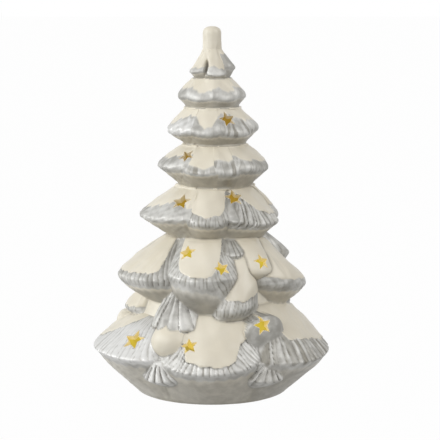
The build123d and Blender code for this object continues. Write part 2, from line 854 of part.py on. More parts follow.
def make_switch():
    body = block(0, -switch_offset, flange_top, switch_length, switch_width, switch_height)
    body += block(0, -switch_offset, flange_top, switch_length + 2 * ear_length, switch_width, ear_thickness)
    for x, y in peg_places():
        body -= post(x, y, flange_top - cut_overrun, peg_radius + pin_gap, ear_thickness + 2 * cut_overrun)
    for x in (-terminal_spread, terminal_spread):
        body += block(x, -switch_offset, switch_top, terminal_width, terminal_thickness, terminal_height)
    return body - block(
        0,
        -switch_offset,
        flange_top,
        knob_head_length + knob_travel + 2 * slip_gap,
        knob_head_width + 2 * slip_gap,
        knob_head_height + 2 * slip_gap,
    )


# Knob in its on position, at one end of its travel
def make_knob():
    x = knob_travel / 2
    stem_bottom = flange_bottom - knob_proud
    stem_height = flange_top + slip_gap - stem_bottom
    stem = block(x, -switch_offset, stem_bottom, knob_length, knob_width, stem_height)
    return stem + block(
        x, -switch_offset, flange_top + slip_gap, knob_head_length, knob_head_width, knob_head_height
    )


# A wire of straight runs joined by arcs
def make_wire(points):
    path = FilletPolyline(*points, radius=wire_bend_radius)
    way = path % 0
    section = Plane(origin=points[0], z_dir=way) * Circle(wire_radius)
    return sweep(section, path=path)


# From the plus contact up over the edge of the board
def make_red_wire():
    edge = board_radius + 2 * wire_radius
    return make_wire(
        [
            (contact_x, battery_y, tab_middle),
            ((contact_x + edge) / 2, battery_y, tab_middle),
            (edge, battery_y, wire_height),
            (wire_pad_radius, battery_y, wire_height),
            (wire_pad_radius, battery_y, board_top),
        ]
    )


# From the minus contact across the roof of the bay and down to the switch
def make_black_wire():
    return make_wire(
        [
            (contact_x, -battery_y, tab_middle),
            (board_radius + 2 * wire_radius, -battery_y, tab_middle),
            (terminal_spread, -switch_offset, tab_middle),
            (terminal_spread, -switch_offset, terminal_top),
        ]
    )


# From the switch up to the board
def make_switch_wire():
    return make_wire(
        [
            (-terminal_spread, -switch_offset, terminal_top),
            (-terminal_spread, -switch_offset, wire_height),
            (-terminal_spread, -wire_pad_radius, wire_height),
            (-terminal_spread, -wire_pad_radius, board_top),
        ]
    )


def save(shape, name):
    export_step(shape, f"parts/{name}.step")


os.makedirs("parts", exist_ok=True)
save(make_tree(), "tree_shell")
save(make_pads(), "felt_pads")
save(make_cup(), "lamp_cup")
save(make_gasket(), "rubber_gasket")
save(make_door(), "battery_door")
save(make_cover(), "lamp_cover")
save(make_dome(), "diffuser_dome")
save(make_cover_screws(), "cover_screws")
save(make_board(), "led_board")
save(make_board_screws(), "board_screws")
save(make_leds(), "leds")
save(make_leads(), "led_leads")
save(make_resistor(), "resistor")
save(make_battery(battery_y, 1, battery_end - battery_length), "battery_rear")
save(make_battery(-battery_y, -1, battery_end - spring_length), "battery_front")
save(make_tab_contact(battery_y), "plus_contact")
save(make_tab_contact(-battery_y), "minus_contact")
save(make_contact(-contact_x - contact_thickness / 2, 0, battery_spacing + contact_width), "bridge_contact")
save(make_spring(battery_y, -contact_x), "bridge_spring")
save(make_spring(-battery_y, contact_x - spring_length), "minus_spring")
save(make_switch(), "switch_body")
save(make_knob(), "switch_knob")
save(make_red_wire(), "red_wire")
save(make_black_wire(), "black_wire")
save(make_switch_wire(), "switch_wire")
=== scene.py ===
import json
import math

import bpy
import numpy as np
from mathutils import Matrix, Vector


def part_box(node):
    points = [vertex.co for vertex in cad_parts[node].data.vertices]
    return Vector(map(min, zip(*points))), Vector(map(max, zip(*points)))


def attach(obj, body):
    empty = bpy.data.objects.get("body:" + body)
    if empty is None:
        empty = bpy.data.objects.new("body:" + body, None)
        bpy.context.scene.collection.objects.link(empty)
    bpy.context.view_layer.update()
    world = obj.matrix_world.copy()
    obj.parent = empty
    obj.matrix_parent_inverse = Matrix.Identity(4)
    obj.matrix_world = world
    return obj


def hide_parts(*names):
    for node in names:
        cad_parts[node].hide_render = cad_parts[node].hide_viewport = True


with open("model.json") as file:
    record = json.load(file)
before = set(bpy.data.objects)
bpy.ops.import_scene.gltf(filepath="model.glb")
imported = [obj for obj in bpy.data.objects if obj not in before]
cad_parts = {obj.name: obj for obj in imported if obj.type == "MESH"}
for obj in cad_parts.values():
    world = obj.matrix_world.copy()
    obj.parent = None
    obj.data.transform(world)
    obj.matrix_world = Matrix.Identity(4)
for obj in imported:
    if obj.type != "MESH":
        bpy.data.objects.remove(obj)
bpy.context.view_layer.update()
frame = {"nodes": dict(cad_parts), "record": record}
mm = 0.001

photoView = {
    "pixels": 440,
    "eye": (0.0, -1.0, 0.265),
    "aim": (0.0, 0.0, 0.125),
    "lens": 120.0,
    "sensor": 36.0,
    "right": 8.0,       # pixels that the frame is moved by
    "down": 11.0,
    "near": 0.02,
}


def turnToTree(thing):
    gaze = Vector(photoView["aim"]) - thing.location
    thing.rotation_euler = gaze.to_track_quat("-Z", "Y").to_euler()


def placeCamera(view):
    bpy.ops.object.camera_add(location=view["eye"])
    camera = bpy.context.object
    camera.name = "photoCamera"
    turnToTree(camera)
    camera.data.lens = view["lens"]
    camera.data.sensor_width = view["sensor"]
    camera.data.shift_x = view["right"] / view["pixels"]
    camera.data.shift_y = -view["down"] / view["pixels"]
    camera.data.clip_start = view["near"]
    bpy.context.scene.camera = camera


# Materials: a tap is one socket, and sums on taps add Math nodes
class Tap:
    def __init__(self, finish, socket):
        self.finish = finish
        self.socket = socket

    def __add__(self, other):
        return self.finish.sum("ADD", self, other)

    def __radd__(self, other):
        return self.finish.sum("ADD", other, self)

    def __sub__(self, other):
        return self.finish.sum("SUBTRACT", self, other)

    def __rsub__(self, other):
        return self.finish.sum("SUBTRACT", other, self)

    def __mul__(self, other):
        return self.finish.sum("MULTIPLY", self, other)


class Finish:
    def __init__(self, name, block=None):
        self.block = block or bpy.data.materials.new(name)
        self.block.use_nodes = True
        self.tree = self.block.node_tree
        self.tree.nodes.clear()

    def node(self, kind, settings=None, sockets=None):
        made = self.tree.nodes.new("ShaderNode" + kind)
        for key, value in (settings or {}).items():
            setattr(made, key, value)
        for key, value in (sockets or {}).items():
            if isinstance(value, Tap):
                self.tree.links.new(value.socket, made.inputs[key])
            else:
                made.inputs[key].default_value = value
        return made

    def tap(self, made, output=0):
        return Tap(self, made.outputs[output])

    def sum(self, operation, first, second):
        return self.tap(self.node("Math", {"operation": operation}, {0: first, 1: second}))

    def mix(self, share, first, second):
        made = self.node("Mix", {"data_type": "RGBA"}, {0: share, 6: first, 7: second})
        return self.tap(made, 2)

    def place(self):
        return self.tap(self.node("TexCoord"), "Object")

    def axis(self, name):
        return self.tap(self.node("SeparateXYZ", {}, {0: self.place()}), name)

    def stretched(self, place, scale, turn=0.0):
        sockets = {"Vector": place, "Scale": scale, "Rotation": (0.0, 0.0, turn)}
        return self.tap(self.node("Mapping", {}, sockets))

    def blend(self, share, first, second):
        return self.tap(self.node("MixShader", {}, {0: share, 1: first, 2: second}))

    def stored(self, name):
        return self.tap(self.node("Attribute", {"attribute_name": name}), "Fac")

    def noise(self, scale, detail, rough=0.5, place=None):
        sockets = {"Vector": place or self.place(), "Scale": scale, "Detail": detail, "Roughness": rough}
        return self.tap(self.node("TexNoise", {}, sockets))

    def span(self, share, low, high, first=0.0, last=1.0):
        settings = {"interpolation_type": "SMOOTHSTEP"}
        sockets = {"Value": share, "From Min": low, "From Max": high, "To Min": first, "To Max": last}
        return self.tap(self.node("MapRange", settings, sockets))

    def bump(self, height, distance, strength):
        return self.tap(self.node("Bump", {}, {"Height": height, "Distance": distance, "Strength": strength}))

    def light(self, kind, colour, strength):
        return self.tap(self.node(kind, {}, {"Color": colour, "Strength": strength}))

    def shade(self, **sockets):
        named = {key.replace("_", " "): value for key, value in sockets.items()}
        return self.tap(self.node("BsdfPrincipled", {}, named))

    def done(self, shader, kind="OutputMaterial"):
        end = self.node(kind)
        self.tree.links.new(shader.socket, end.inputs["Surface"])
        return self.block


def tone(red, green, blue):
    return (red, green, blue, 1.0)


glaze = {
    "cream": tone(0.775, 0.722, 0.606),
    "creamDeep": tone(0.722, 0.664, 0.542),
    "silver": tone(0.59, 0.583, 0.556),
    "silverDeep": tone(0.365, 0.356, 0.33),
    # lighter silver: painted light where a bough faces the light
    "silverPaintedLight": tone(0.665, 0.66, 0.645),
    # dark wash in the lines, also used as painted shade in creases, hollows and under rims
    "darkWashAndShade": tone(0.215, 0.2, 0.165),
    "clay": tone(0.6, 0.55, 0.45),
}


# Cream glaze with a brushed silver lustre where the sculpt says so, a lighter silver as painted light where a bough
# faces the light, and a dark wash left in the lines that is also painted shade in creases, hollows, under rims and on
# silver in shade
def makeGlaze(name):
    f = Finish(name)
    silver = f.stored("silver")
    washAndShadeMark = f.stored("washAndShadeMark")
    cloud = f.noise(38.0, 4.0)
    brush = f.noise(170.0, 3.0)
    fine = f.noise(420.0, 2.0)
    cream = f.mix(f.span(cloud, 0.35, 0.7), glaze["cream"], glaze["creamDeep"])
    lustre = f.mix(f.span(cloud * 0.5 + brush * 0.5, 0.38, 0.64), glaze["silver"], glaze["silverDeep"])
    # painted light: silver marked above 1 turns lighter where a bough faces the light
    lustre = f.mix(f.span(silver, 1.05, 1.6), lustre, glaze["silverPaintedLight"])
    worn = f.span(silver + (fine - 0.5) * 0.12 + (brush - 0.5) * 0.16, 0.12, 0.85)
    # share of dark wash and painted shade, from the mark that the sculpt stores
    darkWashAndShade = f.span(washAndShadeMark + (brush - 0.5) * 0.25, 0.08, 1.0, 0.0, 0.86)
    height = fine * 0.35 + cloud
    return f.done(f.shade(
        Base_Color=f.mix(darkWashAndShade, f.mix(worn, cream, lustre), glaze["darkWashAndShade"]),
        Metallic=worn * 0.42,
        Roughness=0.46 + worn * 0.1 + (fine - 0.5) * 0.12,
        Coat_Weight=0.15 - worn * 0.15,
        Coat_Roughness=0.25,
        Normal=f.bump(height, 0.0004, 0.35),
    ))


# Colours of painted lamp light on the clay inside and the windows' cut sides; the frosted dome shares the low one
glow = {
    "low": tone(0.5, 0.405, 0.05),
    "high": tone(0.225, 0.145, 0.022),
    "edge": tone(0.23, 0.17, 0.035),
    "edgeHigh": tone(0.06, 0.04, 0.008),
    "clay": tone(0.26, 0.2, 0.09),
    "from": 0.106,
    "to": 0.130,
    "strength": 1.0,
}


# Painted lamp light, from the bright glow low down, at 0, to the dim glow of the tip
def glowRise(f):
    return f.span(f.axis("Z"), glow["from"], glow["to"])


# Cut sides of the windows, glowing with painted light from inside
def makeStarEdge(name):
    f = Finish(name)
    speck = f.noise(600.0, 2.0)
    return f.done(f.shade(
        Base_Color=f.mix(speck, glaze["cream"], glaze["clay"]),
        Roughness=0.5 + (speck - 0.5) * 0.2,
        Emission_Color=f.mix(glowRise(f), glow["edge"], glow["edgeHigh"]),
        Emission_Strength=glow["strength"],
        Normal=f.bump(speck, 0.0002, 0.3),
    ))


# Raw clay inside, glowing with painted lamp light, warm and dimmer towards the tip
def makeGlow(name):
    f = Finish(name)
    mottle = f.noise(130.0, 2.0)
    light = f.mix(glowRise(f), glow["low"], glow["high"])
    return f.done(f.shade(
        Base_Color=f.mix(mottle, glow["clay"], glow["high"]),
        Roughness=0.8,
        Emission_Color=f.mix(f.span(mottle, 0.3, 0.8, 0.0, 0.35), light, glow["high"]),
        Emission_Strength=glow["strength"],
    ))


# The tree's outside as a radius over azimuth (0 at the front, rising to the right) and height, in mm
core = {
    "heights": [
        0, 10, 30, 50, 60, 68, 80, 95, 108, 120, 142, 155, 170, 182, 195, 205, 214.5, 225, 232, 240, 243,
    ],
    "radii": [
        53.5, 53.5, 54, 52, 49, 46.5, 42, 35.5, 30.4, 27.8, 22.8, 21, 18.2, 17.2, 15.8, 13.2, 10.9, 8.4, 6.6, 6.3, 6.3,
    ],
    "leanHeights": [0, 60, 95, 110, 142, 170, 195, 250],
    "leans": [0, 0, 2.5, 3.2, 2.8, 2.2, 0.4, 0],       # mm that the necks stand off to the right
    "tipFrom": 244.0,
    "tip": 250.0,
    "tipShort": 0.02,   # mm that the sculpt ends below it
    "tipFlat": 3.2,     # how long the tip's cap stays wide
    "tipRound": 0.45,   # how blunt it ends
    "foot": 1.0,
    "footRound": 2.2,
    "silver": 0.3,
    "silverTop": 215.0,
    "silverFade": 2.0,
}

boughPlain = {
    "root": 0.0,        # radius at the top, where it isn't the core's
    "lean": 0.0,        # degrees that the root stands off from the tip
    "rise": 2.0,        # mm that the rim climbs towards both sides
    "slant": 0.0,       # mm that the rim climbs towards the right
    "tuck": 0.15,       # how much narrower the underside is at its foot
    "fan": 0.25,        # how much the needles spread down the slope
    "round": 0.08,      # how much the reach falls off towards both sides
    "flank": 1.1,       # how steeply it falls off past them
    "bulge": 0.85,      # below 1 the slope is domed
    "belly": 1.15,      # above 1 the underside is domed
    "lip": 1.4,         # mm that the rim is rounded over
    "taper": 0.0,       # how much narrower the root is than the rim
    "soft": 0.3,        # mm that the snow's edge fades over
    "ragged": 1.0,      # how uneven that edge is
    "lump": 0.0,        # mm of soft lumps on the bare slope
    "drift": 0.45,      # mm of wider lumps on the snow
    "crisp": 0.75,      # below 1 the needles are broad with thin lines between
    "edge": 0.8,        # how far down the slope the snow lies, or a list over azimuth
    "fringe": 0.2,      # how far below the rim the needles hang
    "needle": 3.0,      # mm that a needle is wide
    "depth": 0.55,      # how deep the lines between them are cut
    "snowThick": 0.9,
    "fringeThick": 0.55,
    "under": 0.35,      # silver on the underside
    "shade": 0.6,       # painted shade on the underside
    "dabs": 0.42,       # dark wash dabbed over whole needles, heavier as painted shade on silver that lies in shade
    "ink": 1.0,         # dark wash and painted shade left between needles
    "slope": 1.0,       # silver on the bare slope; above 1 it turns lighter, as painted light
    "merge": 1.4,       # mm that it melts into its neighbours over
}


def bough(at, half, top, rim, foot, reach, **more):
    return dict(boughPlain, at=at, half=half, top=top, rim=rim, foot=foot, reach=reach, **more)


# The upper tiers are nearly whole rings with round rims
def softBough(at, half, top, rim, foot, reach, **more):
    return bough(at, half, top, rim, foot, reach + 0.9, **dict({"merge": 5.0, "lip": 5.5}, **more))


# Boughs in a row share the heights of roots and feet, and what else is given
def rowOf(make, top, foot, **shared):
    def add(at, half, rim, reach, **own):
        return make(at, half, rim=rim, reach=reach, **dict(dict(shared, top=top, foot=foot), **own))

    return add


tier1 = rowOf(bough, 234.5, 213.8, round=0.18, soft=1.2, needle=2.0, depth=0.1, snowThick=0.3)
tier2 = rowOf(softBough, 215.6, 194.8, soft=2.6, needle=2.6, depth=0.12, snowThick=0.4)
tier3 = rowOf(softBough, 196, 169.6, soft=2.2, needle=2.8, depth=0.15, snowThick=0.6)
tier4 = rowOf(softBough, 171, 141.6, needle=2.8, depth=0.25)
tier5 = rowOf(softBough, 143, 107, needle=3.6, depth=0.6)
tier6 = rowOf(bough, 110, 66, fringe=0.3, needle=4.0, depth=0.7)
tier7 = rowOf(bough, 62, 1, tuck=0.0, fringe=0.07, under=0.55)
tuft = rowOf(bough, 32, 10, edge=-1, taper=0.85, needle=6.4, depth=1.5, crisp=0.8, round=0.08, fringe=0.5, under=0.8)

boughs = [
    # top tier
    tier1(-66, 40, 219.5, 15.8, edge=0.88, bulge=1.35, round=0.2, under=0.4),
    tier1(15, 37, 217.5, 15.0, foot=213.6, bulge=1.2, round=0.2, under=0.4,
          edge=[(-24, 0.55), (-10, 0.8), (6, 0.62), (22, 0.8), (40, 0.86), (54, 0.6)]),
    tier1(88, 32, 222.5, 15.5, foot=214, edge=0.3, bulge=1.15, round=0.16, soft=1.0, under=0.7),
    tier1(146, 34, 219.5, 15.2, edge=0.8, bulge=1.25),
    tier1(-138, 36, 220.5, 15.4, edge=0.85, bulge=1.25),
    # second tier
    tier2(-80, 36, 202.7, 23.2, edge=0.6),
    tier2(-24, 28, 201.8, 22.8, edge=[(-52, 0.5), (-36, 0.62), (-14, 0.74), (4, 0.64)], soft=2.4),
    tier2(28, 27, 202, 22.8, edge=[(2, 0.64), (16, 0.5), (34, 0.72), (55, 0.6)], soft=2.4, under=0.5),
    tier2(84, 34, 203.8, 23.1, edge=0.62, under=0.6),
    tier2(140, 32, 202.5, 22.8, edge=0.62),
    tier2(-160, 32, 202.2, 22.9, edge=0.6),
    tier2(-118, 24, 203, 22.6, edge=0.66),
    # third tier
    tier3(-8, 21, 179, 31, edge=[(-30, 0.3), (-20, 0.6), (-10, 0.82), (0, 0.7), (8, 0.45), (14, 0.3)]),
    tier3(-66, 42, 179.5, 30.6, edge=[(-110, 0.78), (-78, 0.74), (-64, 0.6), (-52, 0.44), (-40, 0.36), (-26, 0.45)],
          needle=3.0, ragged=1.8, lump=0.35, slope=1.4),
    tier3(38, 30, 178.8, 31.2, needle=2.6, depth=0.25, dabs=1.0,
          edge=[(6, 0.42), (14, 0.32), (24, 0.22), (34, 0.3), (44, 0.38), (56, 0.56), (70, 0.66)]),
    tier3(92, 30, 181.5, 31.8, edge=0.66, under=0.5),
    tier3(142, 30, 179, 31, edge=0.6),
    tier3(-168, 30, 180, 31.2, edge=0.5),
    tier3(-118, 26, 178.5, 30.6, edge=0.66),
    # fourth tier
    tier4(-12, 21, 153, 38, edge=[(-34, 0.4), (-28, 0.7), (-8, 0.84), (3, 0.72), (8, 0.5)],
          soft=2.2, ragged=0.4, fringe=0.02, needle=2.6, dabs=1.0),
    tier4(-70, 40, 156.5, 37.4, edge=[(-110, 0.74), (-80, 0.7), (-60, 0.6), (-47, 0.52), (-36, 0.42), (-30, 0.5)],
          soft=1.8, ragged=1.6, lump=0.3, needle=3.0, depth=0.15),
    tier4(18, 16, 154, 37.6, edge=[(2, 0.66), (8, 0.54), (14, 0.58), (20, 0.62), (27, 0.54), (32, 0.56)],
          soft=2.2, ragged=0.4, needle=3.0, depth=0.3, dabs=0.8, under=0.5),
    tier4(64, 34, 155.5, 39.6, soft=2.0, ragged=0.5, needle=3.2, depth=0.35,
          edge=[(30, 0.5), (36, 0.62), (46, 0.72), (54, 0.62), (62, 0.72), (80, 0.8), (100, 0.85)]),
    tier4(122, 30, 155, 38, edge=0.7),
    tier4(176, 30, 153.5, 38.2, edge=[(150, 0.5), (168, 0.8), (186, 0.7), (200, 0.4)]),
    tier4(-132, 28, 156, 37.6, edge=0.62),
    # fifth tier
    tier5(-66, 42, 122.5, 50.0, soft=1.2, ragged=2.0, lump=0.4, fringe=0.12, needle=4.4, depth=0.12, under=0.3,
          edge=[(-110, 0.82), (-80, 0.76), (-62, 0.64), (-46, 0.5), (-36, 0.4), (-28, 0.58), (-24, 0.7)]),
    tier5(-5, 19, 121, 48.4, edge=[(-28, 0.6), (-22, 0.7), (-4, 0.82), (8, 0.78), (13, 0.66), (16, 0.4)],
          round=0.14, fringe=0.18, needle=2.5, depth=0.45, under=0.25),
    bough(54, 36, 142, 119, 106.5, 48.6, slant=-1.5, round=0.12, fan=0.5,
          edge=[(16, 0.1), (24, 0.12), (34, 0.16), (41, 0.4), (47, 0.6), (61, 0.74), (75, 0.8), (92, 0.82)],
          fringe=0.25, needle=3.7, depth=1.2, crisp=1.1, lip=2.4, under=0.2),
    bough(21, 8.5, 141, 122, 115, 46.2, edge=-1, taper=0.15, needle=9.0, depth=0.15, round=0.22, lip=3.0),
    tier5(118, 30, 120, 48.5, edge=0.7),
    tier5(172, 32, 121, 47.5, edge=[(140, 0.5), (160, 0.7), (176, 0.8), (190, 0.5)], needle=3.2),
    tier5(-130, 28, 119.5, 48.5, edge=0.66),
    # sixth tier
    tier6(-74, 44, 83, 65.2, lean=-13, bulge=0.92, round=0.2, taper=0.2, tuck=0.3, snowThick=1.3,
          edge=[(-120, 0.95), (-74, 0.92), (-50, 0.9), (-38, 0.86), (-33.5, 0.5), (-31, 0.0)],
          belly=1.9, depth=1.4, crisp=0.9, dabs=0.15, under=0.2, shade=0.7),
    bough(-8, 24, 112, 86, 60, 62, belly=1.6, round=0.12, tuck=0.4, fan=0.6, snowThick=1.2,
          edge=[(-34, 0.1), (-32, 0.2), (-28.6, 0.5), (-26, 0.7), (-21, 0.86), (-17, 0.92), (-8, 0.94), (0, 0.9),
                (3, 0.8), (6, 0.55), (8, 0.35), (11, 0.1)],
          fringe=[(-24, 0.16), (-8, 0.2), (4, 0.3), (14, 0.5)], needle=3.0, depth=0.4, dabs=0.3, under=0.55,
          shade=0.62),
    bough(72, 33, 108, 79, 60, 66, lean=-18, slant=-3.5, bulge=0.8, round=0.28, flank=1.6, tuck=0.35, snowThick=1.2,
          edge=[(38, 0.86), (46, 0.92), (54, 0.95), (68, 0.95), (80, 0.96), (100, 0.96)],
          belly=1.6, lip=3.4, soft=1.4, fringe=0.3, needle=3.4, depth=0.25, dabs=0.1, lump=0.3, under=0.3, shade=0.5),
    bough(41, 17, 111, 88.5, 79, 56.5, edge=1.2, bulge=0.65, round=0.2, flank=1.6, lip=3.4, fringe=0.0, depth=0.1,
          under=0.0, shade=0.3),
    bough(106, 20, 112, 93.5, 78, 54.6, edge=0.12, fringe=0.3, needle=3.4, depth=0.8),
    bough(20, 11, 111, 100, 90, 47, edge=-1, taper=0.45, needle=4.0, depth=0.8, round=0.1),
    tier6(150, 26, 82, 62.5, foot=67, edge=0.82),
    tier6(-164, 26, 80.5, 63, edge=0.86),
    tier6(-116, 24, 85, 62, foot=68, edge=0.84, needle=4.4, depth=0.8),
    # short boughs under the sixth tier
    bough(-98, 26, 78, 57, 47, 60.2, lip=2.6, fringe=0.2, needle=3.4,
          edge=[(-130, 0.4), (-112, 0.55), (-100, 0.85), (-86, 0.96), (-70, 0.96)]),
    bough(19, 14.5, 104, 66, 53.5, 60.5, lean=8, taper=0.45, bulge=0.45, slant=3,
          edge=[(4, 0.8), (10, 0.83), (20, 0.87), (34, 0.87)],
          fringe=0.4, needle=2.8, depth=0.5, round=0.1, tuck=0.2, snowThick=1.2, under=0.6),
    bough(98, 26, 84, 61, 50, 55, edge=0.92, needle=3.4),
    bough(140, 24, 84, 60, 49, 58, edge=0.85, fringe=0.25, needle=3.4),
    bough(-172, 26, 82, 58, 48, 59.5, edge=0.85, fringe=0.25, needle=3.4),
    bough(-134, 18, 86, 62, 50, 56, edge=-1, taper=0.8, needle=9.0, depth=1.4),
    bough(-28.5, 18.0, 80, 52, 45.5, 65.0, root=47, edge=-1, taper=0.8, needle=9.5, depth=1.8, crisp=0.75, round=0.12,
          lip=2.2, fringe=0.5, dabs=0.2, ink=0.3, under=0.8, slope=0.9),
    # lowest tier
    tier7(-70, 36, 33, 83.2, top=56, slant=-2, round=0.13,
          edge=[(-110, 0.93), (-88, 0.9), (-80, 0.72), (-72, 0.48), (-62, 0.2), (-57, 0.0)],
          fringe=0.06, needle=4.2, depth=0.3, lump=0.2, dabs=0.05, slope=1.5, under=0.5, shade=0.34),
    tier7(-2, 30, 27, 77, rise=6, round=0.12, fan=1.0, snowThick=1.4,
          edge=[(-34, 0.4), (-24, 0.5), (-17, 0.55), (-14, 0.8), (-4, 0.88), (6, 0.89), (13, 0.82), (17, 0.55),
                (30, 0.42)],
          needle=3.8, depth=0.8, dabs=0.12, slope=1.25, under=0.45, shade=0.45),
    tier7(68, 36, 30, 82.6, top=66, slant=1, bulge=0.95, round=0.12, snowThick=1.3,
          edge=[(36, 0.1), (42, 0.3), (48, 0.62), (66, 0.7), (80, 0.84), (104, 0.9)],
          fringe=0.06, needle=4.4, depth=0.9, dabs=0.85, shade=0.58),
    tier7(122, 29, 30, 78, top=60, bulge=1.0, edge=0.8, needle=3.6, depth=0.6),
    tier7(178, 33, 28, 76, rise=4, edge=[(146, 0.5), (166, 0.85), (190, 0.88), (206, 0.5)], needle=3.2, depth=0.6),
    tier7(-128, 30, 31, 79, top=58, edge=[(-156, 0.85), (-128, 0.7), (-104, 0.85)], needle=3.6, depth=0.7),
    # folded tufts hanging below the lowest rim
    tuft(-31, 12.5, 19, 75, top=32.5, foot=11, root=70, depth=1.6, dabs=0.15, slope=1.35, under=0.7),
    tuft(33.5, 11.5, 18.5, 74.5, top=31.5, root=69.5, needle=6.0, depth=1.6),
    tuft(96, 12, 19, 74.5, root=69.5),
    tuft(150, 13, 19, 73, root=68),
    tuft(-150, 12, 19, 73, root=68),
]

# Round drifts and bare mounds: azimuth, height, radius of the middle, half width, half height, depth, silver, painted
# shade
mounds = [
    (-28.2, 43.5, 57, 12.5, 12.5, 13, 0, 0),
    (35, 50, 61.8, 15.5, 11.5, 4.6, 0.9, 0.4),
    (150, 46, 56, 12, 11, 10, 0, 0),
    (-96, 45, 60, 10, 9, 7, 0, 0),
]
# Hollows pressed in with a tool: azimuth, height, half width, half height, depth, painted shade
dents = [
    (-22, 222.5, 2.4, 6, 2.6, 0.75),
    (96, 221.5, 2.2, 5, 1.6, 0.5),
    (176, 222, 2.2, 5.5, 2, 0.6),
    (-50, 238, 2.6, 7, 0.5, 0),
    (42, 233, 2.6, 6, 0.5, 0),
    (-66, 90, 4.2, 13, 1.1, 0.08),
    (-53, 93, 3.6, 12, 1, 0.1),
    (56, 92, 3.6, 11, 0.9, 0.08),
    (66, 52, 4, 9, 0.9, 0.06),
]

relief = {
    "carve": 1.6,       # mm that a line is cut in, for a depth of 1
    "valley": 0.18,     # how round the bottom of a carved line is, as a share of its depth
    "ringMelt": 2.0,    # boughs that melt over more mm than this have no seams
    "crease": 1.6,      # mm beside a seam that the carving fades over
    # painted shade along the seams between boughs: how wide, and how dark
    "seamWide": 1.9,
    "seamShade": 0.6,
    "seamTop": 214.0,   # seams fade out below this height
    "seamFade": 4.0,
    "uneven": 0.005,    # slow waves over the whole outside, as a share of the radius
    "moundMelt": 1.5,
    "moundShade": 1.8,   # mm beside a mound's edge that its painted shade fades over
}
nowhere = -1e3          # a radius for where a bough has no surface


def wrap(degrees):
    return (degrees + 180.0) % 360.0 - 180.0


def softMin(first, second, width):
    share = np.clip(0.5 + 0.5 * (second - first) / width, 0.0, 1.0)
    return second + (first - second) * share - width * share * (1.0 - share)


def softMax(first, second, width):
    return -softMin(-first, -second, width)


def ease(value, low, high):
    share = np.clip((value - low) / (high - low), 0.0, 1.0)
    return share * share * (3.0 - 2.0 * share)


def follow(value, azimuth):
    if isinstance(value, list):
        return np.interp(azimuth, [p[0] for p in value], [p[1] for p in value])
    return value


def coreRadius(height, azimuth):
    body = np.interp(height, core["heights"], core["radii"])
    body = body + np.interp(height, core["leanHeights"], core["leans"]) * np.sin(np.radians(azimuth))
    over = np.clip((height - core["tipFrom"]) / (core["tip"] - core["tipFrom"]), 0.0, 1.0)
    body = body * (1.0 - over ** core["tipFlat"]) ** core["tipRound"]
    low = np.clip(1.0 - (height - core["foot"]) / core["footRound"], 0.0, 1.0)
    return body - core["footRound"] * 0.5 * low ** 2


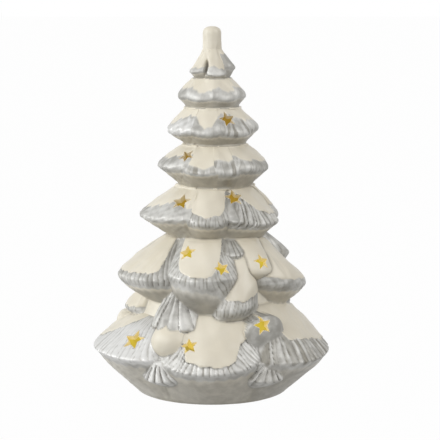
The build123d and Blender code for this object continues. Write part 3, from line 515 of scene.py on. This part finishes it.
def boughShape(b, azimuth, height):
    off = wrap(azimuth - b["at"])
    tall = b["top"] - b["rim"]
    side = off - b["lean"] * (height - b["rim"]) / tall
    down = np.clip((b["top"] - height) / tall, 0.0, 1.0)
    hidden = np.clip((b["rim"] - height) / (b["rim"] - b["foot"]), 0.0, 1.0)
    half = b["half"] * (1.0 - b["taper"] * (1.0 - down)) * (1.0 - b["tuck"] * hidden)
    a = side / half
    near = np.minimum(np.abs(a), 1.0)
    past = np.maximum(np.abs(a) - 1.0, 0.0)
    rootRadius = b["root"] or coreRadius(b["top"], azimuth)
    footRadius = coreRadius(b["foot"], azimuth)
    reach = b["reach"] * (1.0 - b["round"] * near ** 2)
    reach = reach - past * np.radians(half) * b["reach"] * b["flank"]
    rim = b["rim"] + b["rise"] * near ** 2 + b["slant"] * np.clip(a, -1.0, 1.0)
    t = (b["top"] - height) / (b["top"] - rim)
    below = (rim - height) / (rim - b["foot"])
    upper = rootRadius + (reach - rootRadius) * np.maximum(t, 0.0) ** b["bulge"]
    lower = reach - (reach - footRadius) * np.sign(below) * np.abs(below) ** b["belly"]
    radius = np.where((t < 0.0) | (below > 1.0), nowhere, softMin(upper, lower, b["lip"]))

    # the snow and its uneven edge
    run = np.hypot(b["reach"] - rootRadius, tall)
    arc = np.radians(off) * b["reach"]
    wave = 0.55 * np.sin(arc * 0.62 + b["at"]) + 0.25 * np.sin(arc * 1.27 + 2.0 * b["at"])
    wave = b["ragged"] * (wave + 0.3 * np.sin(arc * 0.33 + 0.7 * b["at"]))
    across = b["at"] + a * b["half"]
    edge = follow(b["edge"], across) + wave / run
    snow = ease((edge - t) * run, -b["soft"], b["soft"] + 0.8)
    line = np.exp(-((edge - t) * run / 0.7) ** 2) * min(1.0, 0.6 / b["soft"])
    hang = follow(b["fringe"], across) + 0.02 * np.sin(np.radians(off) * 57.0)
    bare = (1.0 - snow) * (1.0 - ease(below, hang - 0.05, hang + 0.05))
    # needles, counted across, and the lines between them
    if b["taper"] > 0.0:
        count = a * np.radians(b["half"]) * b["reach"] / b["needle"]
    else:
        count = np.radians(side) * b["reach"] * (1.0 + b["fan"] * (1.0 - t)) / b["needle"]
        count = count + 0.22 * np.sin(t * 5.0 + off * 0.31) + 0.18 * np.sin(off * 0.73 + b["at"])
    valley = relief["valley"]
    ridge = np.sqrt(np.sin(np.pi * count) ** 2 + valley ** 2) - valley
    ridge = (ridge / (np.hypot(1.0, valley) - valley)) ** b["crisp"]
    deep = 0.7 + 0.3 * np.sin(np.floor(count) * 2.4 + b["at"])
    if b["taper"] > 0.0:
        bare = bare * ease(t, 0.04, 0.4)
    cut = (1.0 - ridge) * deep * bare
    knobs = np.sin(arc * 0.75 + t * run * 0.3 + b["at"]) * np.sin(t * run * 0.62 - arc * 0.2 + 1.3)
    drift = np.sin(arc * 0.3 + t * run * 0.12 + b["at"]) * np.sin(t * run * 0.26 - arc * 0.09 + 0.4 * b["at"])
    swell = (b["snowThick"] + b["drift"] * drift) * snow + b["fringeThick"] * bare
    swell = swell - b["depth"] * relief["carve"] * cut + b["lump"] * knobs * (1.0 - snow)
    # silver; dark wash and painted shade between needles, a dark line along the snow's edge, and painted shade between
    # lumps, on silver that lies in shade and under the rim
    stroke = (0.5 + 0.5 * np.sin(np.floor(count) * 2.7 + b["at"])) ** 2 * min(1.0, b["depth"] / 0.3)
    silver = (1.0 - snow) * (b["slope"] + (b["under"] - b["slope"]) * ease(below, hang, hang + 0.16))
    stainAndShade = np.maximum(b["ink"] * cut * min(1.0, b["depth"] / 0.4), 0.5 * line)
    # painted shade: dabs on silver that lies in shade, and the hollows between lumps
    stainAndShade = np.maximum(stainAndShade, (b["dabs"] * stroke + 0.3 * b["lump"] * (1.0 - knobs)) * bare)
    # painted shade on the underside, below the fringe
    stainAndShade = np.maximum(stainAndShade, b["shade"] * ease(below, hang, hang + 0.3))
    return radius, swell, silver, stainAndShade


def treeShape(azimuth, height):
    azimuth, height = np.broadcast_arrays(azimuth, height)
    best = coreRadius(height, azimuth)
    first = best.copy()
    second = np.full_like(best, nowhere)
    swell = np.zeros_like(best)
    silver = core["silver"] * ease(core["silverTop"] - height, -core["silverFade"], core["silverFade"])
    # cut carries the dark wash and painted shade of whichever bough is outermost
    cut = np.zeros_like(best)
    melt = np.full_like(best, boughPlain["merge"])
    for b in boughs:
        radius, lift, bright, line = boughShape(b, azimuth, height)
        wins = radius > first
        second = np.where(wins, first, np.maximum(second, radius))
        first = np.where(wins, radius, first)
        swell = np.where(wins, lift, swell)
        silver = np.where(wins, bright, silver)
        cut = np.where(wins, line, cut)
        melt = np.where(wins, b["merge"], melt)
        best = softMax(best, radius, b["merge"])
    seamless = melt > relief["ringMelt"]
    crease = np.where(seamless, 1.0, ease(first - second, 0.0, relief["crease"]))
    around = np.radians(azimuth)
    uneven = np.sin(around * 7.0 + height * 0.21) + np.sin(around * 11.0 - height * 0.13 + 1.7)
    uneven = uneven + np.sin(around * 5.0 + height * 0.37 + 0.6)
    # painted shade along the seams between boughs, none near the tip
    seam = np.where(seamless, 0.0, relief["seamShade"]) * (1.0 - ease(first - second, 0.0, relief["seamWide"]))
    cut = np.maximum(cut, seam * ease(relief["seamTop"] - height, 0.0, relief["seamFade"]))
    best = best + swell * crease + relief["uneven"] * best * uneven * ease(height, 8.0, 20.0)
    for at, z, away, wide, tall, out, bright, darkWashAndShade in mounds:
        across = np.radians(wrap(azimuth - at)) * away
        room = 1.0 - (across / wide) ** 2 - ((height - z) / tall) ** 2
        ball = np.where(room > 0.0, away + out * np.sqrt(np.maximum(room, 0.0)), nowhere)
        wins = ball > best
        silver = np.where(wins, bright, silver)
        # painted shade on the mound's face
        cut = np.where(wins, darkWashAndShade, cut)
        # painted shade where the mound meets the bough
        beside = 1.0 - ease(np.abs(ball - best), 0.0, relief["moundShade"])
        cut = np.maximum(cut, min(0.55, 0.04 * out) * beside)
        best = np.where(room > 0.0, softMax(best, ball, relief["moundMelt"]), best)
    for at, z, wide, tall, deep, darkWashAndShade in dents:
        across = np.radians(wrap(azimuth - at)) * best
        room = ease(1.0 - (across / wide) ** 2 - ((height - z) / tall) ** 2, 0.0, 1.0)
        best = best - deep * room
        # painted shade inside the hollow
        cut = np.maximum(cut, darkWashAndShade * room)
    return best, silver, cut


hollow = {
    "wall": 2.0,
    "reach": 3,         # mm around a point that its wall thickness is kept over
    "from": 8.0,
    "top": 208.0,
    "over": 6.0,        # mm that the table runs on above the top
    "columns": 144,
    "smooths": 3,
    "least": 1.0,
    "foot": [(41.0, 1.0), (41.0, 6.8), (33.2, 6.8), (33.2, 11.8)],
    "floor": (48.5, 11.8),
}


# The inside keeps the wall's thickness off the lowest outside point nearby
def hollowTable():
    heights = np.arange(hollow["from"], hollow["top"] + hollow["over"], 1.0)
    turns = np.linspace(-180.0, 180.0, hollow["columns"], endpoint=False)
    outside = treeShape(turns[None, :], heights[:, None])[0]
    smooth = outside.copy()
    for up in range(-hollow["reach"], hollow["reach"] + 1):
        for turn in range(-1, 2):
            moved = np.roll(np.roll(outside, turn, axis=1), up, axis=0)
            smooth = np.minimum(smooth, moved)
    for _ in range(hollow["smooths"]):
        smooth = (np.roll(smooth, 1, axis=1) + 2.0 * smooth + np.roll(smooth, -1, axis=1)) / 4.0
    return heights, turns, np.maximum(smooth - hollow["wall"], hollow["least"])


def hollowRadius(table, azimuth, height):
    heights, turns, radii = table
    row = np.clip(height - heights[0], 0.0, len(heights) - 1.001)
    step = 360.0 / len(turns)
    column = (azimuth + 180.0) / step
    r0, c0 = np.floor(row).astype(int), np.floor(column).astype(int)
    dr, dc = row - r0, column - c0
    c1 = (c0 + 1) % len(turns)
    c0 = c0 % len(turns)
    low = radii[r0, c0] * (1 - dc) + radii[r0, c1] * dc
    high = radii[r0 + 1, c0] * (1 - dc) + radii[r0 + 1, c1] * dc
    return low * (1 - dr) + high * dr


meshRows = {"samples": 1500, "turns": 48, "steepest": 4.0}


# Rows of the mesh crowd where the outside runs far out for little height
def rowHeights(low, high, count):
    fine = np.linspace(low, high, meshRows["samples"])
    turns = np.linspace(-180.0, 180.0, meshRows["turns"], endpoint=False)
    radii = treeShape(turns[None, :], fine[:, None])[0]
    steep = np.clip(np.gradient(radii, fine, axis=0), -meshRows["steepest"], meshRows["steepest"])
    length = np.mean(np.sqrt(1.0 + steep ** 2), axis=1)
    along = np.concatenate([[0.0], np.cumsum(0.5 * (length[1:] + length[:-1]) * np.diff(fine))])
    return np.interp(np.linspace(0.0, along[-1], count), along, fine)


def clearSelection():
    bpy.ops.object.select_all(action="DESELECT")


def selectOnly(thing):
    clearSelection()
    thing.select_set(True)
    bpy.context.view_layer.objects.active = thing


def copyOf(model, matrix):
    copy = model.copy()
    copy.data = model.data.copy()
    bpy.context.collection.objects.link(copy)
    copy.data.transform(matrix)
    return copy


def joined(copies):
    clearSelection()
    for copy in copies:
        copy.select_set(True)
    bpy.context.view_layer.objects.active = copies[0]
    bpy.ops.object.join()
    return bpy.context.object


def startEdit():
    bpy.ops.object.mode_set(mode="EDIT")
    bpy.ops.mesh.select_all(action="SELECT")


def endEdit():
    bpy.ops.object.mode_set(mode="OBJECT")


def turnsOf(columns):
    return np.linspace(-180.0, 180.0, columns + 1)


# Where corners or faces of a flat grid stand, from 0 to 1
def gridSpots(things, name):
    flat = np.empty(len(things) * 3)
    things.foreach_get(name, flat)
    return (flat.reshape(-1, 3) + 1.0) / 2.0


# A flat grid whose columns run round the tree and whose rows follow the given rings
def wrapGrid(name, columns, rings):
    clearSelection()
    last = len(rings) - 1
    bpy.ops.mesh.primitive_grid_add(x_subdivisions=columns, y_subdivisions=last, size=2.0)
    shell = bpy.context.object
    shell.name = name
    mesh = shell.data
    corners = gridSpots(mesh.vertices, "co")
    column = np.rint(corners[:, 0] * columns).astype(int)
    row = np.rint(corners[:, 1] * last).astype(int)
    faceRow = np.floor(gridSpots(mesh.polygons, "center")[:, 1] * last).astype(int)

    radius = np.array([ring["radius"] for ring in rings])
    height = np.array([ring["height"] for ring in rings])
    angle = np.radians(turnsOf(columns))[None, :]
    points = np.stack([radius * np.sin(angle), -radius * np.cos(angle), height], axis=2) * mm
    mesh.vertices.foreach_set("co", points[row, column].ravel())
    for mark in ("silver", "washAndShadeMark"):
        values = np.array([ring[mark] for ring in rings])[row, column]
        mesh.attributes.new(mark, "FLOAT", "POINT").data.foreach_set("value", values.astype(np.float32))
    inside = np.array([ring["inside"] for ring in rings])
    hidden = (inside[faceRow] & inside[np.minimum(faceRow + 1, last)]).astype(np.int32)
    mesh.polygons.foreach_set("material_index", hidden)
    mesh.update()

    startEdit()
    bpy.ops.mesh.remove_doubles(threshold=1e-6)
    bpy.ops.mesh.normals_make_consistent(inside=False)
    endEdit()
    return shell


def ringOf(radius, height, inside, silver=0.0, washAndShadeMark=0.0):
    none = np.zeros_like(radius)
    radius[-1] = radius[0]
    marks = {"silver": none + silver, "washAndShadeMark": none + washAndShadeMark}
    return {"radius": radius, "height": none + height, "inside": inside, **marks}


def outerRing(columns, height, limit):
    azimuth = turnsOf(columns)
    radius, silver, washAndShadeMark = treeShape(azimuth, height)
    return ringOf(np.minimum(radius, limit(azimuth)), height, False, silver, washAndShadeMark)


def innerRing(columns, table, height):
    return ringOf(hollowRadius(table, turnsOf(columns), height), height, True)


def plainRing(columns, radius, height, inside):
    return ringOf(np.full(columns + 1, radius), height, inside)


# The sculpt stays a little inside the CAD tree's box
def boxLimit():
    low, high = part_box("tree_shell")
    slack = 0.15

    def limit(azimuth):
        across = np.sin(np.radians(azimuth))
        ahead = -np.cos(np.radians(azimuth))
        xRoom = np.where(across > 0, high.x, -low.x) / mm - slack
        yRoom = np.where(ahead > 0, high.y, -low.y) / mm - slack
        return np.minimum(xRoom / np.maximum(np.abs(across), 1e-6), yRoom / np.maximum(np.abs(ahead), 1e-6))

    return limit


# The ceramic is three pieces that meet: inner gives the heights of the rings inside
shellPieces = {
    "treeLower": {
        "low": 1.0, "high": 108.0, "columns": 570, "rows": 132,
        "inner": range(13, 109, 5),
    },
    "treeMiddle": {
        "low": 108.0, "high": 170.0, "columns": 520, "rows": 108,
        "inner": [108, 113, 118, 123, 128, 133, 138, 142, 147, 152, 157, 162, 166, 170],
    },
    "treeUpper": {
        "low": 170.0, "high": 249.97, "columns": 400, "rows": 140,
        "inner": [170, 175, 180, 185, 190, 195, 200, 204, 207],
    },
}
shellSmooth = 42.0      # degrees below which an edge is shaded smooth


def buildShell(name, table, limit):
    piece = shellPieces[name]
    columns = piece["columns"]
    outer = [outerRing(columns, z, limit) for z in rowHeights(piece["low"], piece["high"], piece["rows"])]
    inner = [innerRing(columns, table, float(z)) for z in piece["inner"]]
    if name == "treeLower":
        foot = [plainRing(columns, r, z, False) for r, z in hollow["foot"]]
        floor = plainRing(columns, *hollow["floor"], True)
        rings = foot + [floor] + inner + outer[::-1] + foot[:1]
    elif name == "treeMiddle":
        rings = inner + outer[::-1] + inner[:1]
    else:
        pole = plainRing(columns, 0.0, hollow["top"], True)
        tip = plainRing(columns, 0.0, core["tip"] - core["tipShort"], False)
        rings = [pole] + inner[::-1] + outer + [tip]
    return wrapGrid(name, columns, rings)


# Star windows: azimuth, height, radius, turn
stars = [
    (25.5, 188.6, 6.2, 8), (-36.5, 164, 5.8, -24), (-35, 134, 7.3, 10), (28, 136.7, 6.6, 0), (-22, 101.5, 6.3, 18),
    (7, 93, 5.9, 8), (39.5, 95.5, 6.0, 0), (-50, 43, 8.4, 4), (-13, 43.7, 6.0, 14), (30.8, 55.6, 6.4, 10),
    (-170, 187.7, 5.2, 0), (140, 163.6, 5.2, 10), (-125, 162.9, 5.2, 0), (110, 132.6, 6.2, 12), (-155, 133, 6.2, 0),
    (128, 95, 6.2, 6), (176, 96.4, 6.2, 0), (-128, 95.8, 6.2, 10), (105, 42.8, 7.6, 8),
    (152, 41.8, 7.6, 0), (-152, 42.6, 7.6, 12), (-104, 41.8, 7.6, 4),
]
starShape = {
    "waist": 0.47,
    "outward": 4.5,     # mm that a cutter stands out of the surface, and goes into it
    "inward": 13.0,
    "feelAcross": 4.0,  # mm on each side that the slope of the surface is taken over
    "feelUp": 3.0,
    "leastRadius": 20.0,
}


# Where a window sits, and the way that the surface faces there
def starFrame(at, height):
    def point(a, z):
        r = float(treeShape(np.array([a]), np.array([z]))[0][0])
        return Vector((r * math.sin(math.radians(a)), -r * math.cos(math.radians(a)), z))

    place = point(at, height)
    spread = math.degrees(starShape["feelAcross"] / max(starShape["leastRadius"], place.xy.length))
    across = point(at + spread, height) - point(at - spread, height)
    rise = point(at, height + starShape["feelUp"]) - point(at, height - starShape["feelUp"])
    return place, across.cross(rise).normalized()


def makeStarCutter(name):
    clearSelection()
    bpy.ops.mesh.primitive_circle_add(vertices=10, radius=1.0, fill_type="NGON", location=(0, 0, 0))
    star = bpy.context.object
    star.name = name
    for vertex in star.data.vertices:
        turn = math.degrees(math.atan2(vertex.co.y, vertex.co.x))
        if round((turn - 90.0) / 36.0) % 2:
            vertex.co *= starShape["waist"]
    startEdit()
    bpy.ops.transform.translate(value=(0, 0, -1))
    bpy.ops.mesh.extrude_region_move(TRANSFORM_OT_translate={"value": (0, 0, 2)})
    bpy.ops.mesh.select_all(action="SELECT")
    bpy.ops.mesh.normals_make_consistent(inside=False)
    endEdit()
    return star


# Each window is a copy of the one star, laid square to the bough that it goes through
def cutStars(shell, low, high, edgeMaterial):
    model = makeStarCutter("starCutter")
    model.data.materials.append(edgeMaterial)
    copies = []
    for at, height, radius, turn in stars:
        if not low <= height < high:
            continue
        place, out = starFrame(at, height)
        side = Vector((0, 0, 1)).cross(out).normalized()
        up = out.cross(side)
        depth = 0.5 * (starShape["outward"] + starShape["inward"])
        middle = place + out * (0.5 * (starShape["outward"] - starShape["inward"]))
        axes = Matrix((side, up, out)).transposed().to_4x4()
        turned = axes @ Matrix.Rotation(math.radians(turn), 4, "Z")
        sized = turned @ Matrix.Diagonal((radius, radius, depth, 1.0))
        copies.append(copyOf(model, Matrix.Diagonal((mm, mm, mm, 1.0)) @ Matrix.Translation(middle) @ sized))
    bpy.data.objects.remove(model)
    cutter = joined(copies)
    selectOnly(shell)
    windows = shell.modifiers.new("windows", "BOOLEAN")
    windows.operation = "DIFFERENCE"
    windows.solver = "MANIFOLD"
    windows.material_mode = "TRANSFER"
    windows.object = cutter
    bpy.ops.object.modifier_apply(modifier=windows.name)
    bpy.data.objects.remove(cutter)
    return len(copies)


def buildTree():
    table = hollowTable()
    limit = boxLimit()
    glazed = makeGlaze("creamAndSilverGlaze")
    lit = makeGlow("paintedLightInside")
    edge = makeStarEdge("starWindowEdge")
    for name, piece in shellPieces.items():
        shell = buildShell(name, table, limit)
        shell.data.materials.append(glazed)
        shell.data.materials.append(lit)
        cut = cutStars(shell, piece["low"], piece["high"], edge)
        selectOnly(shell)
        bpy.ops.object.shade_smooth_by_angle(angle=math.radians(shellSmooth))
        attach(shell, "tree")
        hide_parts("tree_shell")
        triangles = sum(len(face.vertices) - 2 for face in shell.data.polygons)
        print(name, triangles, "triangles,", cut, "star windows", [slot.name for slot in shell.data.materials])


feltPads = {
    "ring": 47.0,       # mm from the middle of the foot
    "radius": 3.4,
    "thick": 1.0,
    "edgeRound": 0.28,
    "crown": 0.12,
    "inset": 0.3,       # two rings inside each round face, as shares of the radius
    "turns": (45, 135, 225, 315),
    "smooth": 40.0,
    "colour": tone(0.62, 0.58, 0.5),
    "shade": tone(0.44, 0.4, 0.33),
}


# Pressed wool: short fibres in two directions, and a soft uneven nap
def makeFelt(name):
    f = Finish(name)
    place = f.place()
    along = f.stretched(place, (1.0, 5.0, 1.0), 0.6)
    over = f.stretched(place, (6.0, 1.0, 1.0), -0.5)
    fibre = f.noise(900.0, 4.0, 0.7, along) * 0.5 + f.noise(800.0, 4.0, 0.7, over) * 0.5
    nap = f.noise(260.0, 3.0)
    return f.done(f.shade(
        Base_Color=f.mix(f.span(fibre * 0.7 + nap * 0.3, 0.36, 0.62), feltPads["shade"], feltPads["colour"]),
        Roughness=0.92 + (nap - 0.5) * 0.1,
        Sheen_Weight=0.35,
        Normal=f.bump(fibre + nap * 0.5, 0.0002, 0.7),
    ))


def buildPads():
    clearSelection()
    radius = feltPads["radius"] * mm
    thick = feltPads["thick"] * mm
    bpy.ops.mesh.primitive_cylinder_add(vertices=48, radius=radius, depth=thick, location=(0, 0, 0))
    model = bpy.context.object
    startEdit()
    bpy.ops.mesh.bevel(offset=feltPads["edgeRound"] * mm, segments=3, affect="EDGES")
    bpy.ops.mesh.remove_doubles(threshold=1e-7)
    bpy.ops.mesh.select_all(action="DESELECT")
    endEdit()
    for face in model.data.polygons:
        face.select = abs(face.normal.z) > 0.99 and face.area > radius ** 2
    bpy.ops.object.mode_set(mode="EDIT")
    for _ in range(2):
        bpy.ops.mesh.inset(thickness=radius * feltPads["inset"], depth=0.0)
    bpy.ops.mesh.poke()
    endEdit()
    for vertex in model.data.vertices:
        out = vertex.co.xy.length / radius
        if vertex.co.z < 0.0:
            vertex.co.z += feltPads["crown"] * mm * out ** 4      # the underside rests on its middle
    copies = []
    for turn in feltPads["turns"]:
        a = math.radians(turn)
        place = Vector((math.cos(a), math.sin(a), 0.0)) * feltPads["ring"] * mm
        copies.append(copyOf(model, Matrix.Translation(place + Vector((0.0, 0.0, thick / 2.0)))))
    bpy.data.objects.remove(model)
    pads = joined(copies)
    pads.name = "feltPads"
    bpy.ops.object.shade_smooth_by_angle(angle=math.radians(feltPads["smooth"]))
    pads.data.materials.append(makeFelt("pressedFelt"))
    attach(pads, "tree")
    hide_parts("felt_pads")
    print("felt pads", len(pads.data.polygons), "faces")


lampFinish = {
    "plastic": tone(0.74, 0.72, 0.67),
    "plasticDeep": tone(0.66, 0.63, 0.57),
    "rubber": tone(0.03, 0.03, 0.031),
    "rubberDust": tone(0.075, 0.072, 0.068),
    "frost": tone(0.9, 0.85, 0.7),
    "frostGlow": tone(0.62, 0.44, 0.1),
    "zinc": tone(0.56, 0.56, 0.55),
    "zincDull": tone(0.4, 0.39, 0.37),
    "mask": tone(0.018, 0.105, 0.045),
    "track": tone(0.04, 0.175, 0.075),
    "epoxy": tone(0.95, 0.76, 0.36),
    "epoxyGlow": tone(0.95, 0.66, 0.2),
    "nickel": tone(0.66, 0.64, 0.6),
    "nickelDull": tone(0.5, 0.47, 0.42),
    "black": tone(0.02, 0.02, 0.021),
    "blackWorn": tone(0.045, 0.045, 0.046),
    "red": tone(0.42, 0.02, 0.02),
    "redDeep": tone(0.3, 0.014, 0.016),
}


# Moulded plastic with a fine spark texture and slow flow marks
def makeMoulded(name, light, deep, rough):
    f = Finish(name)
    spark = f.noise(1900.0, 2.0)
    flow = f.noise(70.0, 3.0)
    return f.done(f.shade(
        Base_Color=f.mix(f.span(flow * 0.7 + spark * 0.3, 0.35, 0.68), light, deep),
        Roughness=rough + (spark - 0.5) * 0.2 + (flow - 0.5) * 0.08,
        Normal=f.bump(spark, 0.00006, 0.4),
    ))


def makeRubber(name):
    f = Finish(name)
    grain = f.noise(1300.0, 3.0)
    dust = f.noise(120.0, 4.0, 0.7)
    return f.done(f.shade(
        Base_Color=f.mix(f.span(dust, 0.5, 0.78), lampFinish["rubber"], lampFinish["rubberDust"]),
        Roughness=0.66 + (grain - 0.5) * 0.2,
        Normal=f.bump(grain, 0.0001, 0.4),
    ))


# Frosted dome, lit from within and brightest where it is thickest with light, low down
def makeFrost(name):
    f = Finish(name)
    low, high = (corner.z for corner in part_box("diffuser_dome"))
    rise = f.span(f.axis("Z"), low, high)
    frost = f.noise(1500.0, 2.0)
    return f.done(f.shade(
        Base_Color=f.mix(frost, lampFinish["frost"], lampFinish["plastic"]),
        Roughness=0.5 + (frost - 0.5) * 0.3,
        Emission_Color=f.mix(rise * 0.6, lampFinish["frostGlow"], glow["low"]),
        Emission_Strength=0.5,
        Normal=f.bump(frost, 0.00008, 0.5),
    ))


# Plated metal, drawn out in fine lines along one way
def makePlated(name, bright, dull, rough):
    f = Finish(name)
    drawn = f.stretched(f.place(), (1.0, 1.0, 9.0))
    lines = f.noise(700.0, 4.0, 0.6, drawn)
    stainAndShade = f.noise(210.0, 3.0)
    return f.done(f.shade(
        Base_Color=f.mix(f.span(stainAndShade, 0.42, 0.75), bright, dull),
        Metallic=1.0,
        Roughness=rough + (lines - 0.5) * 0.22 + (stainAndShade - 0.5) * 0.12,
        Normal=f.bump(lines, 0.00004, 0.35),
    ))


# Solder mask with copper tracks showing through it
def makeBoard(name):
    f = Finish(name)
    waves = {"wave_type": "BANDS", "bands_direction": "DIAGONAL", "wave_profile": "SIN"}
    sockets = {"Vector": f.place(), "Scale": 130.0, "Distortion": 2.5, "Detail": 0.0}
    track = f.span(f.tap(f.node("TexWave", waves, sockets), 1), 0.62, 0.74)
    weave = f.noise(1100.0, 2.0)
    return f.done(f.shade(
        Base_Color=f.mix(track * 0.9, lampFinish["mask"], lampFinish["track"]),
        Roughness=0.34 + (weave - 0.5) * 0.2,
        Coat_Weight=0.35,
        Normal=f.bump(track + weave * 0.3, 0.00005, 0.6),
    ))


def makeEpoxy(name):
    f = Finish(name)
    haze = f.noise(400.0, 2.0)
    return f.done(f.shade(
        Base_Color=f.mix(haze, lampFinish["epoxy"], lampFinish["frost"]),
        Roughness=0.12 + haze * 0.1,
        Emission_Color=f.mix(haze, lampFinish["epoxyGlow"], lampFinish["epoxy"]),
        Emission_Strength=1.0,
        Coat_Weight=0.6,
    ))


def makeInsulation(name, light, deep):
    f = Finish(name)
    pull = f.noise(520.0, 3.0)
    return f.done(f.shade(
        Base_Color=f.mix(f.span(pull, 0.35, 0.7), light, deep),
        Roughness=0.36 + (pull - 0.5) * 0.25,
        Normal=f.bump(pull, 0.00006, 0.3),
    ))


cell = {
    "film": tone(0.045, 0.095, 0.13),
    "band": tone(0.42, 0.24, 0.1),
    "nub": 1.0,
    "plusBare": 0.9,    # mm of bare can at the plus end, and at the minus end
    "minusBare": 0.75,
    "fade": 0.15,
    "bandShare": 0.27,  # how much of the cell its band takes
    "bandFade": 0.2,
}


# Printed film round a cell: a copper band at the plus end, bare can at both ends
def makeJacket(name, node, plus):
    f = Finish(name)
    low, high = (corner.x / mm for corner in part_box(node))
    along = (f.axis("X") * (1.0 / mm) - (high if plus > 0 else low)) * float(-plus)     # mm from the plus end
    filmFrom = cell["nub"] + cell["plusBare"]
    filmTo = high - low - cell["minusBare"]
    bandTo = (high - low) * cell["bandShare"]
    covered = f.span(along, filmFrom, filmFrom + cell["fade"])
    bare = 1.0 - covered * (1.0 - f.span(along, filmTo, filmTo + cell["fade"]))
    band = 1.0 - f.span(along, bandTo, bandTo + cell["bandFade"])
    fleck = f.noise(800.0, 2.0)
    film = f.mix(band, cell["film"], cell["band"])
    return f.done(f.shade(
        Base_Color=f.mix(bare, film, lampFinish["nickel"]),
        Metallic=f.sum("MAXIMUM", bare, band * 0.6),
        Roughness=0.27 + (fleck - 0.5) * 0.16,
        Coat_Weight=0.3 - bare * 0.3,
        Normal=f.bump(fleck, 0.00004, 0.3),
    ))


def finishNodes():
    c = lampFinish
    made = {
        "lamp_plastic": makeMoulded("lampPlastic", c["plastic"], c["plasticDeep"], 0.45),
        "rubber": makeRubber("gasketRubber"),
        "diffuser": makeFrost("frostedDome"),
        "screw_steel": makePlated("zincPlate", c["zinc"], c["zincDull"], 0.36),
        "board": makeBoard("solderMask"),
        "led": makeEpoxy("ledEpoxy"),
        "contact_metal": makePlated("nickelPlate", c["nickel"], c["nickelDull"], 0.28),
        "black_plastic": makeMoulded("blackPlastic", c["black"], c["blackWorn"], 0.44),
        "red_wire": makeInsulation("redInsulation", c["red"], c["redDeep"]),
        "black_wire": makeInsulation("blackInsulation", c["black"], c["blackWorn"]),
    }
    cells = {
        "battery_rear": makeJacket("rearCellFilm", "battery_rear", 1),
        "battery_front": makeJacket("frontCellFilm", "battery_front", -1),
    }
    done = 0
    for subpart in frame["record"]["subparts"]:
        node = frame["nodes"][subpart["node"]]
        finish = cells.get(subpart["node"]) or made.get(subpart["material_slot"])
        if finish is not None:
            node.data.materials.clear()
            node.data.materials.append(finish)
            done += 1
    print("lamp unit finishes on", done, "nodes")


studio = {
    "floorSize": 60.0,
    "floor": tone(0.3, 0.3, 0.295),
    "sky": tone(1.0, 0.985, 0.955),
    "skyStrength": 0.25,
    "whiteShare": 0.985,
}
lamps = {
    "keyLamp": {"place": (-1.0, -1.2, 0.7), "size": 1.0, "power": 10.9},
    "topLamp": {"place": (0.1, -0.35, 1.35), "size": 1.1, "power": 1.0},
    "fillLamp": {"place": (1.2, -0.8, 0.95), "size": 0.9, "power": 10.2},
    "leftLamp": {"place": (-1.5, -0.1, 0.6), "size": 0.9, "power": 12.8, "colour": (0.95, 0.98, 1.0)},
}


# The background is white to the camera and to what shines or lets light through
def shownRays(f):
    rays = f.node("LightPath")
    seen = f.sum("MAXIMUM", f.tap(rays, "Is Camera Ray"), f.tap(rays, "Is Glossy Ray"))
    return f.sum("MAXIMUM", seen, f.tap(rays, "Is Transmission Ray"))


def makeFloor():
    clearSelection()
    bpy.ops.mesh.primitive_plane_add(size=studio["floorSize"])
    floor = bpy.context.object
    floor.name = "paleFloor"
    f = Finish("palePaper")
    paper = f.shade(Base_Color=studio["floor"], Roughness=0.9)
    white = f.light("Emission", tone(1, 1, 1), 1.0)
    top = f.blend(shownRays(f) * studio["whiteShare"], paper, white)
    # seen from below, the floor lets the lamp unit and the pads show
    clear = f.tap(f.node("BsdfTransparent"))
    below = f.tap(f.node("NewGeometry"), "Backfacing")
    floor.data.materials.append(f.done(f.blend(below, top, clear)))


def makeSky():
    world = bpy.data.worlds.new("studioSky")
    bpy.context.scene.world = world
    f = Finish("studioSky", world)
    soft = f.light("Background", studio["sky"], studio["skyStrength"])
    white = f.light("Background", tone(1, 1, 1), 1.0)
    f.done(f.blend(shownRays(f), soft, white), "OutputWorld")


def addLamps():
    for name, made in lamps.items():
        bpy.ops.object.light_add(type="AREA", location=made["place"])
        lamp = bpy.context.object
        lamp.name = name
        lamp.data.size = made["size"]
        lamp.data.energy = made["power"]
        lamp.data.color = made.get("colour", (1.0, 1.0, 1.0))
        turnToTree(lamp)
    print("studio with", len(lamps), "lamps")


buildTree()
buildPads()
finishNodes()
makeFloor()
makeSky()
addLamps()
placeCamera(photoView)
bpy.context.scene.view_settings.view_transform = "Standard"
